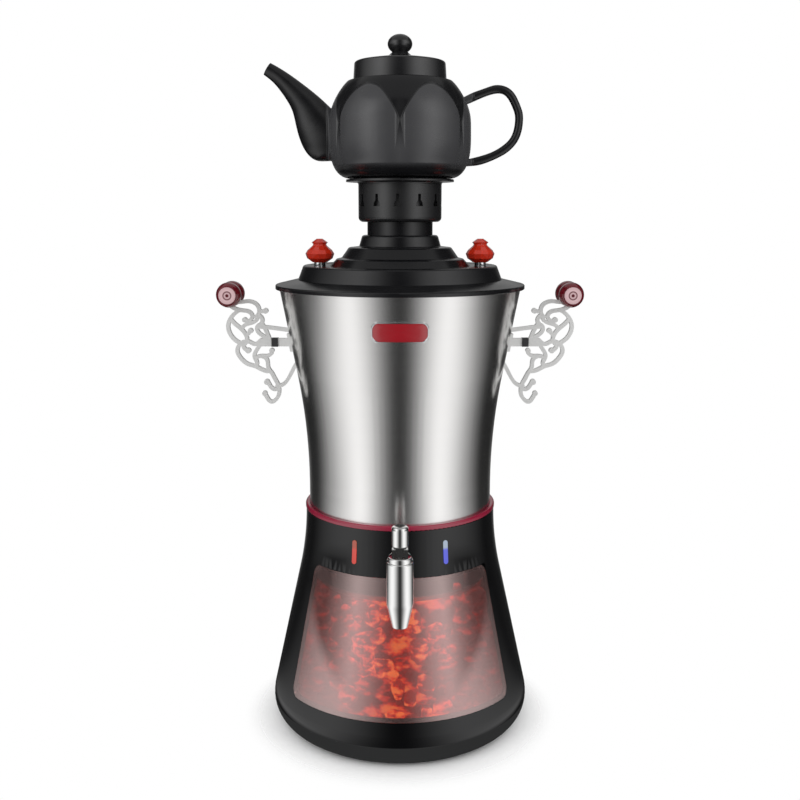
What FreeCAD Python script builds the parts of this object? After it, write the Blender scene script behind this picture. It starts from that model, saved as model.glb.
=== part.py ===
import FreeCAD, Part
import math
import os

# Electric samovar: a flared steel urn on a black lit base, with a tap, two cast side
# handles and a teapot on its lid. Millimetres, +Z up, +X to the right, the tap at -Y.
# The origin is the point of the table under the middle of the base.

V = FreeCAD.Vector

# Fits and seats
FIT = 0.05                  # a pin or spigot in its own hole
PLAY = 0.3                  # a loose piece beside its neighbour
GLUE = 0.1                  # the film behind a panel that is stuck on

# Base, foot and chrome ring
FOOT_R = 8.0
FOOT_STAND = 1.5            # the feet hold the base this far off the table
FOOT_CIRCLE_R = 84.0
FOOT_PEG_R = 3.0
FOOT_COUNT = 4
BASE_INSET = 10.39          # the base stands this far inside the foot of the lower shell
BASE_WALL = 2.5
BASE_LIP = 5.0              # upright wall that centres the chrome ring
RING_SEAT = 4.3             # width of the chrome ring's foot on the base
RING_HEIGHT = 16.8
RING_CURL = 7.39            # the chrome ring curls in this far towards its foot
RING_WALL = 3.9
VENT_COUNT = 12
VENT_LENGTH = 22.0
VENT_WIDTH = 3.0
VENT_CIRCLE_R = 60.0

# Black lower shell
SKIRT_HEIGHT = 174.7
SKIRT_NECK_R = 83.7
SKIRT_BEND_R = 250.0
SKIRT_LEAN = 12.5           # degrees that the cone leans out
SKIRT_HIP_R = 40.0          # last bend, back to upright above the chrome ring
SHELL_WALL = 3.0
SHELL_LIP = 4.0             # the lip that drops inside the chrome ring
SHELL_LIP_WALL = 2.3
NECK_FLANGE = 2.5
NECK_FLANGE_R = 77.6

# Window in the lower shell
WINDOW_HALF_ANGLE = 57.0
WINDOW_BOTTOM = 20.2        # above the foot of the shell
WINDOW_TOP = 39.0           # below the top of the shell
WINDOW_THICK = 1.6
WINDOW_LEDGE = 3.0
WINDOW_CORNER_R = 9.0

# Indicator lenses
LENS_ANGLE = 26.5
LENS_WIDTH = 4.0
LENS_LENGTH = 20.0
LENS_DROP = 20.0            # middle of the lens below the top of the shell
LENS_PROUD = 0.5
LENS_DEPTH = 3.0            # reach of the lens behind the shell's inner face
LAMP_BOARD_THICK = 1.2
LAMP_BOARD_MARGIN = 4.2
LAMP_POST_R = 1.8

# Waist ring and steel upper shell
WAIST_RING_R = 84.2
WAIST_RING_HEIGHT = 4.3
WAIST_LEDGE = 1.5
STEEL_HEIGHT = 192.7
STEEL_WAIST_R = 80.4
STEEL_STRAIGHT = 21.0       # upright stretch above the waist ring
STEEL_BEND_R = 520.0
STEEL_LEAN = 10.8
STEEL_WALL = 0.8

# Water tank and what heats it
TANK_GAP = 4.2              # air between the tank and the steel shell
TANK_WALL = 0.8
TANK_SINK = 43.5            # the tank's floor below the top of the lower shell
TANK_CORNER_R = 6.0
GASKET_THICK = 0.8
HEAT_PLATE_R = 58.0
HEAT_PLATE_THICK = 4.0
ELEMENT_R = 42.0
ELEMENT_TUBE_R = 3.6
ELEMENT_TAIL = 9.0
ELEMENT_OPEN_ANGLE = 34.0
THERMOSTAT_R = 9.0
THERMOSTAT_HEIGHT = 9.0
CUTOUT_R = 7.0
CUTOUT_HEIGHT = 7.0
CUTOUT_PLACE = 22.0
STANDOFF_R = 2.5
STANDOFF_CIRCLE_R = 66.0
STANDOFF_LENGTH = 20.0
STANDOFF_COUNT = 3
SHIELD_R = 78.0
SHIELD_THICK = 0.8
SHIELD_RIM = 5.0

# Lit ember bed in the base
TRAY_HEIGHT = 20.0          # pillars between base and tray
TRAY_R = 100.0
TRAY_HOLE_R = 58.0
TRAY_THICK = 2.0
TRAY_RIM = 4.0
TRAY_PILLAR_R = 3.5
TRAY_PILLAR_PLACE = 84.0
EMBER_FOOT_R = 92.0
EMBER_TOP_R = 64.0
EMBER_HEIGHT = 98.0
EMBER_WALL = 2.0
LED_BOARD_R = 52.0
LED_BOARD_THICK = 1.6
LED_PILLAR_R = 3.0
LED_PILLAR_HEIGHT = 7.0
LED_PILLAR_PLACE = 42.0
LED_SIZE = 5.0
LED_HEIGHT = 1.6
LED_RING_RADII = (18.0, 36.0)
LED_PITCH = 18.8            # from one lamp to the next along its ring

# Power inlet and switch, on a recessed flat at the back
PANEL_WIDTH = 66.0
PANEL_TALL = 34.0
PANEL_DEPTH = 6.5           # below the shell at the panel's middle
PANEL_RISE = 36.0           # middle of the panel above the foot of the shell
INLET_PLACE = 13.0
INLET_FLANGE = (31.0, 24.0, 2.0)
INLET_BODY = (27.0, 19.6, 16.0)
INLET_SOCKET = (24.0, 16.5, 15.0)
INLET_PIN = (2.0, 4.0, 11.0)
INLET_PIN_SPACING = 7.0
SWITCH_PLACE = -18.0
SWITCH_FLANGE = (15.0, 21.0, 1.8)
SWITCH_BODY = (12.6, 18.6, 13.0)
SWITCH_OPENING = (9.6, 15.6, 11.0)
ROCKER_TILT = 10.0          # degrees to each side of level
ROCKER_TALL = 7.0
ROCKER_PIN_R = 1.2
ROCKER_PIVOT = 2.0          # pivot below the switch's face

# Tap
TAP_REACH = 29.0            # tap's axis out from the shell
TAP_DROP = 26.0             # shank below the top of the lower shell
TAP_BODY_R = 10.95
TAP_BODY_TOP = 11.5         # barrel above the shank's axis
TAP_BODY_LOW = 23.5         # barrel below the shank's axis
NOZZLE_LENGTH = 20.0
NOZZLE_R = 6.3
TAP_WALL = 1.8
SEAT_R = 4.2
SEAT_THICK = 2.5
SHANK_R = 7.0
SHANK_BORE_R = 4.5
SHANK_FLANGE_R = 11.0
SHANK_FLANGE_THICK = 2.5
NUT_THICK = 5.0
NUT_ACROSS = 20.0
TAP_WASHER_THICK = 1.5
BONNET_R = 9.6
BONNET_THICK = 4.0
BONNET_NECK = 6.0           # part of the bonnet inside the barrel
EAR_GAP = 6.4
EAR_THICK = 3.2
EAR_R = 4.0
LEVER_R = 6.75
LEVER_LENGTH = 17.0
LEVER_CLEAR = 4.4           # pivot up to the lever's round grip
LEVER_PIN_R = 1.25
LEVER_TILT = 60.0
CAM_START_R = 3.6
CAM_LIFT = 2.6
STEM_R = 2.0
STEM_REST_GAP = 0.9
STEM_COLLAR_R = 6.4
STEM_COLLAR_THICK = 1.2
CUP_R = 6.0
CUP_THICK = 2.5
SPRING_R = 2.9
SPRING_WIRE_R = 0.35
SPRING_TURNS = 7

# Black top rim and lid
RIM_OUT = 3.2               # overhang of the rim past the steel
RIM_SKIRT = 3.0
RIM_RISE = 4.9
RIM_HOLE_R = 84.0
RIM_DROP = 11.0
RIM_WALL = 2.5
LID_R = 87.4
LID_BAND = 12.8
LID_BAND_TOP_R = 82.6
LID_DISH = 1.6              # the flat sits this far below the band's edge
LID_WALL = 2.5
LID_PLUG = 10.0
STEP_3 = (60.4, 54.3, 6.2)  # foot radius, head radius, height
STEP_2 = (50.0, 43.9, 8.6)
STEP_1 = (35.0, 32.3, 9.4)
STEP_FLAT = 1.0             # fall of each flat between steps
LID_NECK_R = 27.9
LID_NECK = 11.0
SEAL_R = 2.0

# Lid knobs
KNOB_PLACE = 68.9
KNOB_FOOT_R = 5.0
KNOB_FOOT = 3.0
KNOB_R = 12.4
KNOB_HEIGHT = 20.0
KNOB_FACES = 12
KNOB_STUD_R = 2.5
KNOB_RINGS = ((6.2, 0.0), (11.0, 3.4), (KNOB_R, 7.4), (10.4, 10.6), (6.2, 14.2), (5.6, 15.4), (7.0, 17.0),
              (2.6, KNOB_HEIGHT))

# Crown under the teapot
CROWN_R = 35.4
CROWN_HEIGHT = 35.4
CROWN_WALL = 2.8
CROWN_PLATE_R = 45.8
CROWN_PLATE = 2.0
CROWN_HOLE_R = 24.0
CROWN_SPIGOT = 7.0
CROWN_CORNER_R = 4.0
CUT_COUNT = 12
CUT_TURN = 3.0              # degrees of the first cut-out off the front
CUT_FOOT_HALF = 3.3
CUT_HEAD_HALF = 1.3
CUT_TALL = 10.0
CUT_RISE = 13.0             # foot of the cut-outs above the crown's foot

# Teapot
POT_FOOT_R = 40.0
POT_FOOT_WALL = 4.0
POT_FOOT = 3.0
POT_R = 59.7
POT_HEIGHT = 79.5
POT_SHOULDER_R = 44.0
POT_WALL = 3.6
POT_LOBES = 6
POT_LOBE_DEPTH = 2.0
POT_NECK_R = 35.8
POT_NECK = 13.5
POT_MOUTH_R = 32.8
SPOUT_WALL = 2.2
HANDLE_TUBE_R = 3.4
CAP_R = 39.0
CAP_TOP_R = 38.0
CAP_SKIRT = 15.4
CAP_CONE = 6.0
CAP_WALL = 2.6
CAP_KNOB_R = 10.3
CAP_KNOB_HEIGHT = 16.0
CAP_KNOB_NECK_R = 6.2

# Side handles
ARM_DROP = 48.5             # handle arm below the top of the steel shell
SCROLL_THICK = 5.0
STROKE = 3.2
GRIP_R = 10.8
GRIP_LENGTH = 14.5
GRIP_BOLT_R = 3.0
GRIP_CAP_R = 7.2
GRIP_CAP_THICK = 2.4
INSULATOR_LENGTH = 5.7
INSULATOR_TALL = 7.4
ARM_TALL = 7.0
BRACKET_REACH = 11.7        # the stub's end out from the steel
PAD_TALL = 15.0
PAD_WIDE = 14.0
PAD_THICK = 2.4

# Heights that follow
Z_BASE = FOOT_STAND
Z_RING = Z_BASE + BASE_WALL
Z_SKIRT = Z_RING + RING_HEIGHT
Z_WAIST = Z_SKIRT + SKIRT_HEIGHT
Z_STEEL = Z_WAIST + WAIST_LEDGE
Z_STEEL_BEND = Z_STEEL + STEEL_STRAIGHT
Z_STEEL_TOP = Z_STEEL + STEEL_HEIGHT
Z_TANK = Z_WAIST - TANK_SINK
Z_FLANGE = Z_STEEL_TOP + TANK_WALL
Z_RIM = Z_FLANGE + GASKET_THICK
Z_LID = Z_RIM + RIM_RISE
Z_LID_EDGE = Z_LID + LID_BAND
Z_LID_FLAT = Z_LID_EDGE - LID_DISH
Z_STEP_3 = Z_LID_FLAT + STEP_3[2]
Z_STEP_2 = Z_STEP_3 + STEP_FLAT + STEP_2[2]
Z_STEP_1 = Z_STEP_2 + STEP_FLAT + STEP_1[2]
Z_CROWN = Z_STEP_1 + LID_NECK
Z_SEAT = Z_CROWN + CROWN_HEIGHT
Z_POT_SHOULDER = Z_SEAT + POT_HEIGHT
Z_TRAY = Z_RING + TRAY_HEIGHT
Z_SHANK = Z_WAIST - TAP_DROP

NODES = {}


def keep(name, shape):
    """Store a finished sub-part under its node name."""
    NODES[name] = shape
    return shape


def xz(point):
    return V(point[0], 0, point[1])


def profile(start, *steps):
    """Face in the XZ plane. A step is a corner reached by a line, or (mid, end) reached by an arc."""
    edges = []
    here = start
    for step in steps + (start,):
        if isinstance(step[0], tuple):
            edges.append(Part.Arc(xz(here), xz(step[0]), xz(step[1])).toShape())
            here = step[1]
        elif (xz(step) - xz(here)).Length > 1e-6:
            edges.append(Part.LineSegment(xz(here), xz(step)).toShape())
            here = step
    return Part.Face(Part.Wire(edges))


def rounded(corners, place=xz):
    """Face from corners (a, b) or (a, b, radius); a radius becomes a tangent arc."""
    spans = []
    count = len(corners)
    for i, corner in enumerate(corners):
        here = place(corner)
        if len(corner) < 3 or corner[2] <= 0:
            spans.append((here, None, here))
            continue
        back = (place(corners[i - 1]) - here).normalize()
        ahead = (place(corners[(i + 1) % count]) - here).normalize()
        half = back.getAngle(ahead) / 2
        middle = (back + ahead).normalize()
        reach = corner[2] / math.tan(half)
        centre = here + middle * (corner[2] / math.sin(half))
        spans.append((here + back * reach, centre - middle * corner[2], here + ahead * reach))
    edges = []
    for i, (start, mid, end) in enumerate(spans):
        if mid is not None:
            edges.append(Part.Arc(start, mid, end).toShape())
        following = spans[(i + 1) % count][0]
        if (following - end).Length > 1e-6:
            edges.append(Part.LineSegment(end, following).toShape())
    return Part.Face(Part.Wire(edges))


def turned(face, angle=360):
    """Solid of revolution about the Z axis."""
    return face.revolve(V(0, 0, 0), V(0, 0, 1), angle)


def ring(inner_r, outer_r, low, high):
    return turned(rounded([(inner_r, low), (outer_r, low), (outer_r, high), (inner_r, high)]))


def disc(radius, low, high, x=0.0, y=0.0):
    return Part.makeCylinder(radius, high - low, V(x, y, low))


def along_y(radius, start, end, z, x=0.0):
    """Cylinder along Y."""
    return Part.makeCylinder(radius, end - start, V(x, start, z), V(0, 1, 0))


def around(shape, count, first=0.0):
    """Copies of a shape, evenly turned about Z."""
    copies = []
    for i in range(count):
        copy = shape.copy()
        copy.rotate(V(0, 0, 0), V(0, 0, 1), first + i * 360.0 / count)
        copies.append(copy)
    return copies


def joined(shapes):
    """One fused solid from touching shapes."""
    return shapes[0].multiFuse(list(shapes[1:])).removeSplitter()


def polar(radius, degrees):
    """Point at a compass angle measured from the front (-Y), positive to the right."""
    turn = math.radians(degrees)
    return radius * math.sin(turn), -radius * math.cos(turn)


def mirrored(shape):
    """The same piece on the other side of the samovar."""
    return shape.mirror(V(0, 0, 0), V(1, 0, 0))


def flare_r(rise, neck_r, bend_r, lean, inset=0.0):
    """Radius of a flared wall, a height away from its neck: a bend, then the cone tangent to it."""
    angle = math.radians(lean)
    turn = bend_r + inset
    if rise <= 0:
        return neck_r - inset
    if rise < turn * math.sin(angle):
        return neck_r + bend_r - math.sqrt(turn ** 2 - rise ** 2)
    knee_r = neck_r + bend_r - turn * math.cos(angle)
    return knee_r + (rise - turn * math.sin(angle)) * math.tan(angle)


def skirt_r(z, inset=0.0):
    return flare_r(Z_WAIST - z, SKIRT_NECK_R, SKIRT_BEND_R, SKIRT_LEAN, inset)


def steel_r(z, inset=0.0):
    return flare_r(z - Z_STEEL_BEND, STEEL_WAIST_R, STEEL_BEND_R, STEEL_LEAN, inset)


def knee_z(neck_z, bend_r, lean, inset, way):
    return neck_z + way * (bend_r + inset) * math.sin(math.radians(lean))


def wall_line(radius_at, neck_z, knee, end_z, inset):
    """Steps for profile() along a flared wall, from its neck to the end."""
    middle = (neck_z + knee) / 2
    return [
        ((radius_at(middle, inset), middle), (radius_at(knee, inset), knee)),
        (radius_at(end_z, inset), end_z),
    ]


def backwards(start, steps):
    """The same line followed from its end to its start."""
    points = [start]
    arcs = []
    for step in steps:
        arc = isinstance(step[0], tuple)
        points.append(step[1] if arc else step)
        arcs.append(step[0] if arc else None)
    result = []
    for i in range(len(arcs) - 1, -1, -1):
        result.append((arcs[i], points[i]) if arcs[i] else points[i])
    return points[-1], result


def skirt_band(outer_inset, inner_inset, low, high):
    """Turned band of the lower shell's wall between two insets and two heights below the bend."""
    knee = knee_z(Z_WAIST, SKIRT_BEND_R, SKIRT_LEAN, outer_inset, -1)
    inner_knee = knee_z(Z_WAIST, SKIRT_BEND_R, SKIRT_LEAN, inner_inset, -1)
    steps = []
    if high > knee:
        mid = (high + knee) / 2
        steps.append(((skirt_r(mid, outer_inset), mid), (skirt_r(knee, outer_inset), knee)))
    steps.append((skirt_r(low, outer_inset), low))
    steps.append((skirt_r(low, inner_inset), low))
    if high > inner_knee:
        steps.append((skirt_r(inner_knee, inner_inset), inner_knee))
        mid = (high + inner_knee) / 2
        steps.append(((skirt_r(mid, inner_inset), mid), (skirt_r(high, inner_inset), high)))
    else:
        steps.append((skirt_r(high, inner_inset), high))
    return profile((skirt_r(high, outer_inset), high), *steps)


HIP = math.radians(SKIRT_LEAN)
Z_HIP = Z_SKIRT + SKIRT_HIP_R * math.sin(HIP)
SKIRT_FOOT_R = skirt_r(Z_HIP) + SKIRT_HIP_R * (1 - math.cos(HIP))
BASE_R = SKIRT_FOOT_R - BASE_INSET
RING_FOOT_R = SKIRT_FOOT_R - RING_CURL
RING_INNER_R = SKIRT_FOOT_R - RING_WALL
RING_SEAT_R = BASE_R - RING_SEAT
WINDOW_LOW = Z_SKIRT + WINDOW_BOTTOM
WINDOW_HIGH = Z_WAIST - WINDOW_TOP
LENS_Z = Z_WAIST - LENS_DROP
TANK_R = STEEL_WAIST_R - STEEL_WALL - TANK_GAP
TAP_Y = -(skirt_r(Z_SHANK) + TAP_REACH)


def base_plate():
    """Round floor with an upright lip, vents and the pillars that carry the lit parts."""
    wall_r = RING_SEAT_R - PLAY
    plate = turned(rounded([
        (0, Z_BASE), (BASE_R, Z_BASE, 0.8), (BASE_R, Z_RING), (wall_r, Z_RING),
        (wall_r, Z_RING + BASE_LIP), (wall_r - BASE_WALL, Z_RING + BASE_LIP),
        (wall_r - BASE_WALL, Z_RING), (0, Z_RING)]))
    tray_pillars = around(
        disc(TRAY_PILLAR_R, Z_RING - 0.5, Z_TRAY, TRAY_PILLAR_PLACE), FOOT_COUNT)
    led_pillars = around(
        disc(LED_PILLAR_R, Z_RING - 0.5, Z_RING + LED_PILLAR_HEIGHT, LED_PILLAR_PLACE), FOOT_COUNT, 45)
    plate = joined([plate] + tray_pillars + led_pillars)
    vent = Part.makeBox(VENT_LENGTH, VENT_WIDTH, 3 * BASE_WALL,
                        V(VENT_CIRCLE_R - VENT_LENGTH / 2, -VENT_WIDTH / 2, Z_BASE - BASE_WALL))
    peg = disc(FOOT_PEG_R + FIT, Z_BASE - 1, Z_RING + 1)
    holes = around(vent, VENT_COUNT, 15) + foot_places(peg)
    return plate.cut(Part.Compound(holes))


def foot_places(shape):
    """A shape built on the Z axis, at the middle foot and at each of the outer ones."""
    outer = shape.copy()
    outer.translate(V(FOOT_CIRCLE_R, 0, 0))
    return [shape] + around(outer, FOOT_COUNT, 45)


def base_feet():
    """Rubber pucks, each with a peg through the base."""
    puck = disc(FOOT_R, 0, Z_BASE)
    peg = disc(FOOT_PEG_R, 0, Z_RING)
    return Part.Compound(foot_places(puck.fuse(peg).removeSplitter()))


def base_ring():
    """Chrome band whose outside curls under, seated on the base round its lip."""
    run = SKIRT_FOOT_R - RING_FOOT_R
    bend = (run ** 2 + RING_HEIGHT ** 2) / (2 * run)
    half = math.asin(RING_HEIGHT / bend) / 2
    mid = (SKIRT_FOOT_R - bend * (1 - math.cos(half)), Z_SKIRT - bend * math.sin(half))
    return turned(profile(
        (SKIRT_FOOT_R, Z_SKIRT), (mid, (RING_FOOT_R, Z_RING)), (RING_SEAT_R, Z_RING),
        (RING_SEAT_R, Z_RING + BASE_WALL), (RING_INNER_R, Z_RING + RING_HEIGHT * 0.55),
        (RING_INNER_R, Z_SKIRT)))


def skirt_wall():
    """Turned wall of the lower shell, with a lip at its foot and a flange at its neck."""
    knee = knee_z(Z_WAIST, SKIRT_BEND_R, SKIRT_LEAN, 0, -1)
    inner_knee = knee_z(Z_WAIST, SKIRT_BEND_R, SKIRT_LEAN, SHELL_WALL, -1)
    lip_r = RING_INNER_R - PLAY
    lip_z = Z_SKIRT - SHELL_LIP
    neck_low = Z_WAIST - NECK_FLANGE
    hip_mid = (skirt_r(Z_HIP) + SKIRT_HIP_R * (math.cos(HIP / 2) - math.cos(HIP)),
               Z_SKIRT + SKIRT_HIP_R * math.sin(HIP / 2))
    outer = wall_line(skirt_r, Z_WAIST, knee, Z_HIP, 0)
    inner_start = (skirt_r(neck_low, SHELL_WALL), neck_low)
    inner_mid = (neck_low + inner_knee) / 2
    inner_foot = Z_SKIRT + SHELL_WALL * 2
    return turned(profile(
        (SKIRT_NECK_R, Z_WAIST), *outer, (hip_mid, (SKIRT_FOOT_R, Z_SKIRT)),
        (lip_r, Z_SKIRT), (lip_r, lip_z), (lip_r - SHELL_LIP_WALL, lip_z),
        (lip_r - SHELL_LIP_WALL, Z_SKIRT + SHELL_WALL), (skirt_r(inner_foot, SHELL_WALL), inner_foot),
        (skirt_r(inner_knee, SHELL_WALL), inner_knee),
        ((skirt_r(inner_mid, SHELL_WALL), inner_mid), inner_start),
        (NECK_FLANGE_R, neck_low), (NECK_FLANGE_R, Z_WAIST)))


def window_sector(outer_inset, inner_inset, margin):
    """Curved slab of the wall behind the window, rounded at its four corners."""
    half = WINDOW_HALF_ANGLE - math.degrees(margin / skirt_r(WINDOW_LOW))
    low = WINDOW_LOW + margin
    high = WINDOW_HIGH - margin
    slab = turned(skirt_band(outer_inset, inner_inset, low, high), 2 * half)
    slab.rotate(V(0, 0, 0), V(0, 0, 1), -90 - half)
    size = WINDOW_CORNER_R - margin
    clear = 2 * WINDOW_CORNER_R
    deep = clear + SKIRT_FOOT_R - NECK_FLANGE_R / 2
    waste = []
    for side in (-1, 1):
        for z, way in ((low, 1), (high, -1)):
            centre = V(-side * size, -SKIRT_FOOT_R - clear, z + way * size)
            box = Part.makeBox(size + 1, deep, size + 1, V(
                min(centre.x, side), centre.y, min(centre.z, z - way)))
            corner = box.cut(Part.makeCylinder(size, deep, centre, V(0, 1, 0)))
            corner.rotate(V(0, 0, 0), V(0, 0, 1), side * half)
            waste.append(corner)
    return slab.cut(Part.Compound(waste))


def rear_place():
    """Placement of the recessed flat: local +Y points out of it, local +Z up along it."""
    z = Z_SKIRT + PANEL_RISE
    return FreeCAD.Placement(
        V(0, skirt_r(z) - PANEL_DEPTH / math.cos(HIP), z), FreeCAD.Rotation(V(1, 0, 0), SKIRT_LEAN))


def rear(shape):
    """Move a shape from the flat's own frame to its place at the back."""
    moved = shape.copy()
    moved.Placement = rear_place().multiply(moved.Placement)
    return moved


def block(wide, deep, tall, x=0.0, y=0.0, z=0.0):
    """Box centred on x and z, from y outwards."""
    return Part.makeBox(wide, deep, tall, V(x - wide / 2, y, z - tall / 2))


def lens_prism(start_r, end_r, grow=0.0):
    """Upright bar with rounded ends, pointing out of the front."""
    half = LENS_WIDTH / 2 + grow
    tall = LENS_LENGTH / 2 + grow
    face = rounded([(-half, LENS_Z - tall, half * 0.98), (half, LENS_Z - tall, half * 0.98),
                    (half, LENS_Z + tall, half * 0.98), (-half, LENS_Z + tall, half * 0.98)])
    bar = face.extrude(V(0, -(end_r - start_r), 0))
    bar.translate(V(0, -start_r, 0))
    return bar


def lens_back_r():
    """Radius of the lenses' back ends."""
    return skirt_r(LENS_Z + LENS_LENGTH / 2, SHELL_WALL) - LENS_DEPTH


def lower_shell():
    """Black skirt with the window's rebate, the lens slots, the tap hole and the rear panel."""
    shell = skirt_wall()
    out = SHELL_WALL + 4
    back = rear(block(PANEL_WIDTH + 2 * SHELL_WALL, out, PANEL_TALL + 2 * SHELL_WALL, y=-SHELL_WALL))
    back = back.common(turned(skirt_band(0.2, 40, Z_SKIRT + 7, Z_WAIST - 60)))
    shell = shell.fuse(back)
    cuts = [
        window_sector(-SHELL_WALL, WINDOW_THICK + GLUE, 0),
        window_sector(-SHELL_WALL, SHELL_WALL * 2, WINDOW_LEDGE),
        along_y(SHANK_R + PLAY, -SKIRT_FOOT_R, -NECK_FLANGE_R, Z_SHANK),
        rear(block(PANEL_WIDTH, 40, PANEL_TALL)),
        rear(block(INLET_BODY[0] + 2 * FIT, 3 * out, INLET_BODY[1] + 2 * FIT, INLET_PLACE, -out)),
        rear(block(SWITCH_BODY[0] + 2 * FIT, 3 * out, SWITCH_BODY[1] + 2 * FIT, SWITCH_PLACE, -out)),
    ]
    posts = []
    for side in (-LENS_ANGLE, LENS_ANGLE):
        slot = lens_prism(NECK_FLANGE_R, SKIRT_NECK_R + 8, FIT)
        slot.rotate(V(0, 0, 0), V(0, 0, 1), side)
        cuts.append(slot)
        for z in lamp_post_heights():
            post = along_y(LAMP_POST_R, -skirt_r(z, SHELL_WALL / 2), -lens_back_r(), z)
            post.rotate(V(0, 0, 0), V(0, 0, 1), side)
            posts.append(post)
    shell = shell.cut(Part.Compound(cuts))
    return shell.multiFuse(posts).removeSplitter()


def lamp_post_heights():
    reach = LENS_LENGTH / 2 + LAMP_BOARD_MARGIN - LAMP_POST_R
    return LENS_Z - reach, LENS_Z + min(reach, LENS_DROP - NECK_FLANGE - LAMP_POST_R)


def indicator(side):
    """Lens that follows the shell's outside, a little proud of it."""
    bar = lens_prism(lens_back_r(), SKIRT_NECK_R + 8)
    bar.rotate(V(0, 0, 0), V(0, 0, 1), side)
    reach = LENS_LENGTH
    return bar.common(turned(skirt_band(-LENS_PROUD, 30, LENS_Z - reach, LENS_Z + reach * 0.95)))


def indicator_boards():
    """Small circuit boards behind the lenses, each with its lamp."""
    boards = []
    high = min(LENS_LENGTH / 2 + LAMP_BOARD_MARGIN, LENS_DROP - NECK_FLANGE)
    low = LENS_LENGTH / 2 + LAMP_BOARD_MARGIN
    for side in (-LENS_ANGLE, LENS_ANGLE):
        board = Part.makeBox(LENS_WIDTH + 6, LAMP_BOARD_THICK, low + high, V(
            -LENS_WIDTH / 2 - 3, -lens_back_r(), LENS_Z - low))
        board.rotate(V(0, 0, 0), V(0, 0, 1), side)
        boards.append(board)
    return Part.Compound(boards)


def waist_ring():
    """Red ring on the lower shell, with a ledge that the steel stands on."""
    seat_r = STEEL_WAIST_R + PLAY
    high = Z_WAIST + WAIST_RING_HEIGHT
    return turned(rounded([
        (NECK_FLANGE_R, Z_WAIST), (WAIST_RING_R, Z_WAIST, 1.0), (WAIST_RING_R, high, 1.6),
        (seat_r, high), (seat_r, Z_STEEL), (NECK_FLANGE_R, Z_STEEL)]))


def flared_shell(outer_inset, wall, foot_z):
    """Upright wall, bend and cone as one thin turned shell, open at both ends."""
    inner = outer_inset + wall
    knee = knee_z(Z_STEEL_BEND, STEEL_BEND_R, STEEL_LEAN, outer_inset, 1)
    inner_knee = knee_z(Z_STEEL_BEND, STEEL_BEND_R, STEEL_LEAN, inner, 1)
    outer = wall_line(steel_r, Z_STEEL_BEND, knee, Z_STEEL_TOP, outer_inset)
    start = (STEEL_WAIST_R - inner, Z_STEEL_BEND)
    inside_end, inside = backwards(start, wall_line(steel_r, Z_STEEL_BEND, inner_knee, Z_STEEL_TOP, inner))
    return turned(profile(
        (STEEL_WAIST_R - outer_inset, foot_z), (STEEL_WAIST_R - outer_inset, Z_STEEL_BEND), *outer,
        inside_end, *inside, (STEEL_WAIST_R - inner, foot_z)))


def tank():
    """Spun vessel: flat floor, rounded corner, flared wall and a flange on the steel's edge."""
    inset = STEEL_WALL + TANK_GAP
    wall = flared_shell(inset, TANK_WALL, Z_TANK + TANK_CORNER_R)
    corner = 0.7071 * TANK_CORNER_R
    inner_r = TANK_CORNER_R - TANK_WALL
    centre = (TANK_R - TANK_CORNER_R, Z_TANK + TANK_CORNER_R)
    inner_corner = 0.7071 * inner_r
    floor = turned(profile(
        (0, Z_TANK), (centre[0], Z_TANK),
        ((centre[0] + corner, centre[1] - corner), (TANK_R, centre[1])),
        (TANK_R - TANK_WALL, centre[1]),
        ((centre[0] + inner_corner, centre[1] - inner_corner), (centre[0], Z_TANK + TANK_WALL)),
        (0, Z_TANK + TANK_WALL)))
    flange = ring(steel_r(Z_STEEL_TOP, inset + TANK_WALL), steel_r(Z_STEEL_TOP), Z_STEEL_TOP, Z_FLANGE)
    hole = along_y(SHANK_R + FIT, -TANK_R - 5, -TANK_R + 12, Z_SHANK)
    return joined([floor, wall, flange]).cut(hole)


def tank_gasket():
    inner = steel_r(Z_STEEL_TOP, STEEL_WALL + TANK_GAP + TANK_WALL)
    return ring(inner, steel_r(Z_STEEL_TOP), Z_FLANGE, Z_RIM)


def heating_element():
    """Open ring of tube under the plate, with both ends bent down to terminals."""
    z = Z_TANK - HEAT_PLATE_THICK - ELEMENT_TUBE_R
    section = Part.Face(Part.Wire([Part.Circle(V(ELEMENT_R, 0, z), V(0, 1, 0), ELEMENT_TUBE_R).toShape()]))
    loop = section.revolve(V(0, 0, 0), V(0, 0, 1), 360 - ELEMENT_OPEN_ANGLE)
    loop.rotate(V(0, 0, 0), V(0, 0, 1), 90 + ELEMENT_OPEN_ANGLE / 2)
    tails = []
    for side in (-1, 1):
        turn = math.radians(90 + side * ELEMENT_OPEN_ANGLE / 2)
        tails.append(disc(ELEMENT_TUBE_R, z - ELEMENT_TAIL, z,
                          ELEMENT_R * math.cos(turn), ELEMENT_R * math.sin(turn)))
        tails.append(Part.makeSphere(ELEMENT_TUBE_R, V(
            ELEMENT_R * math.cos(turn), ELEMENT_R * math.sin(turn), z)))
    return joined([loop] + tails)


def heating_parts():
    """Plate, element, thermostat and cut-out, from the tank's floor down."""
    under = Z_TANK - HEAT_PLATE_THICK
    keep("heater_plate", disc(HEAT_PLATE_R, under, Z_TANK))
    keep("heating_element", heating_element())
    cap = THERMOSTAT_R * 0.7
    keep("thermostat", turned(rounded([
        (0, under), (THERMOSTAT_R, under), (THERMOSTAT_R, under - THERMOSTAT_HEIGHT / 2),
        (cap, under - THERMOSTAT_HEIGHT / 2), (cap, under - THERMOSTAT_HEIGHT), (0, under - THERMOSTAT_HEIGHT)])))
    keep("thermal_cutout", disc(CUTOUT_R, under - CUTOUT_HEIGHT, under, -CUTOUT_PLACE))


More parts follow.
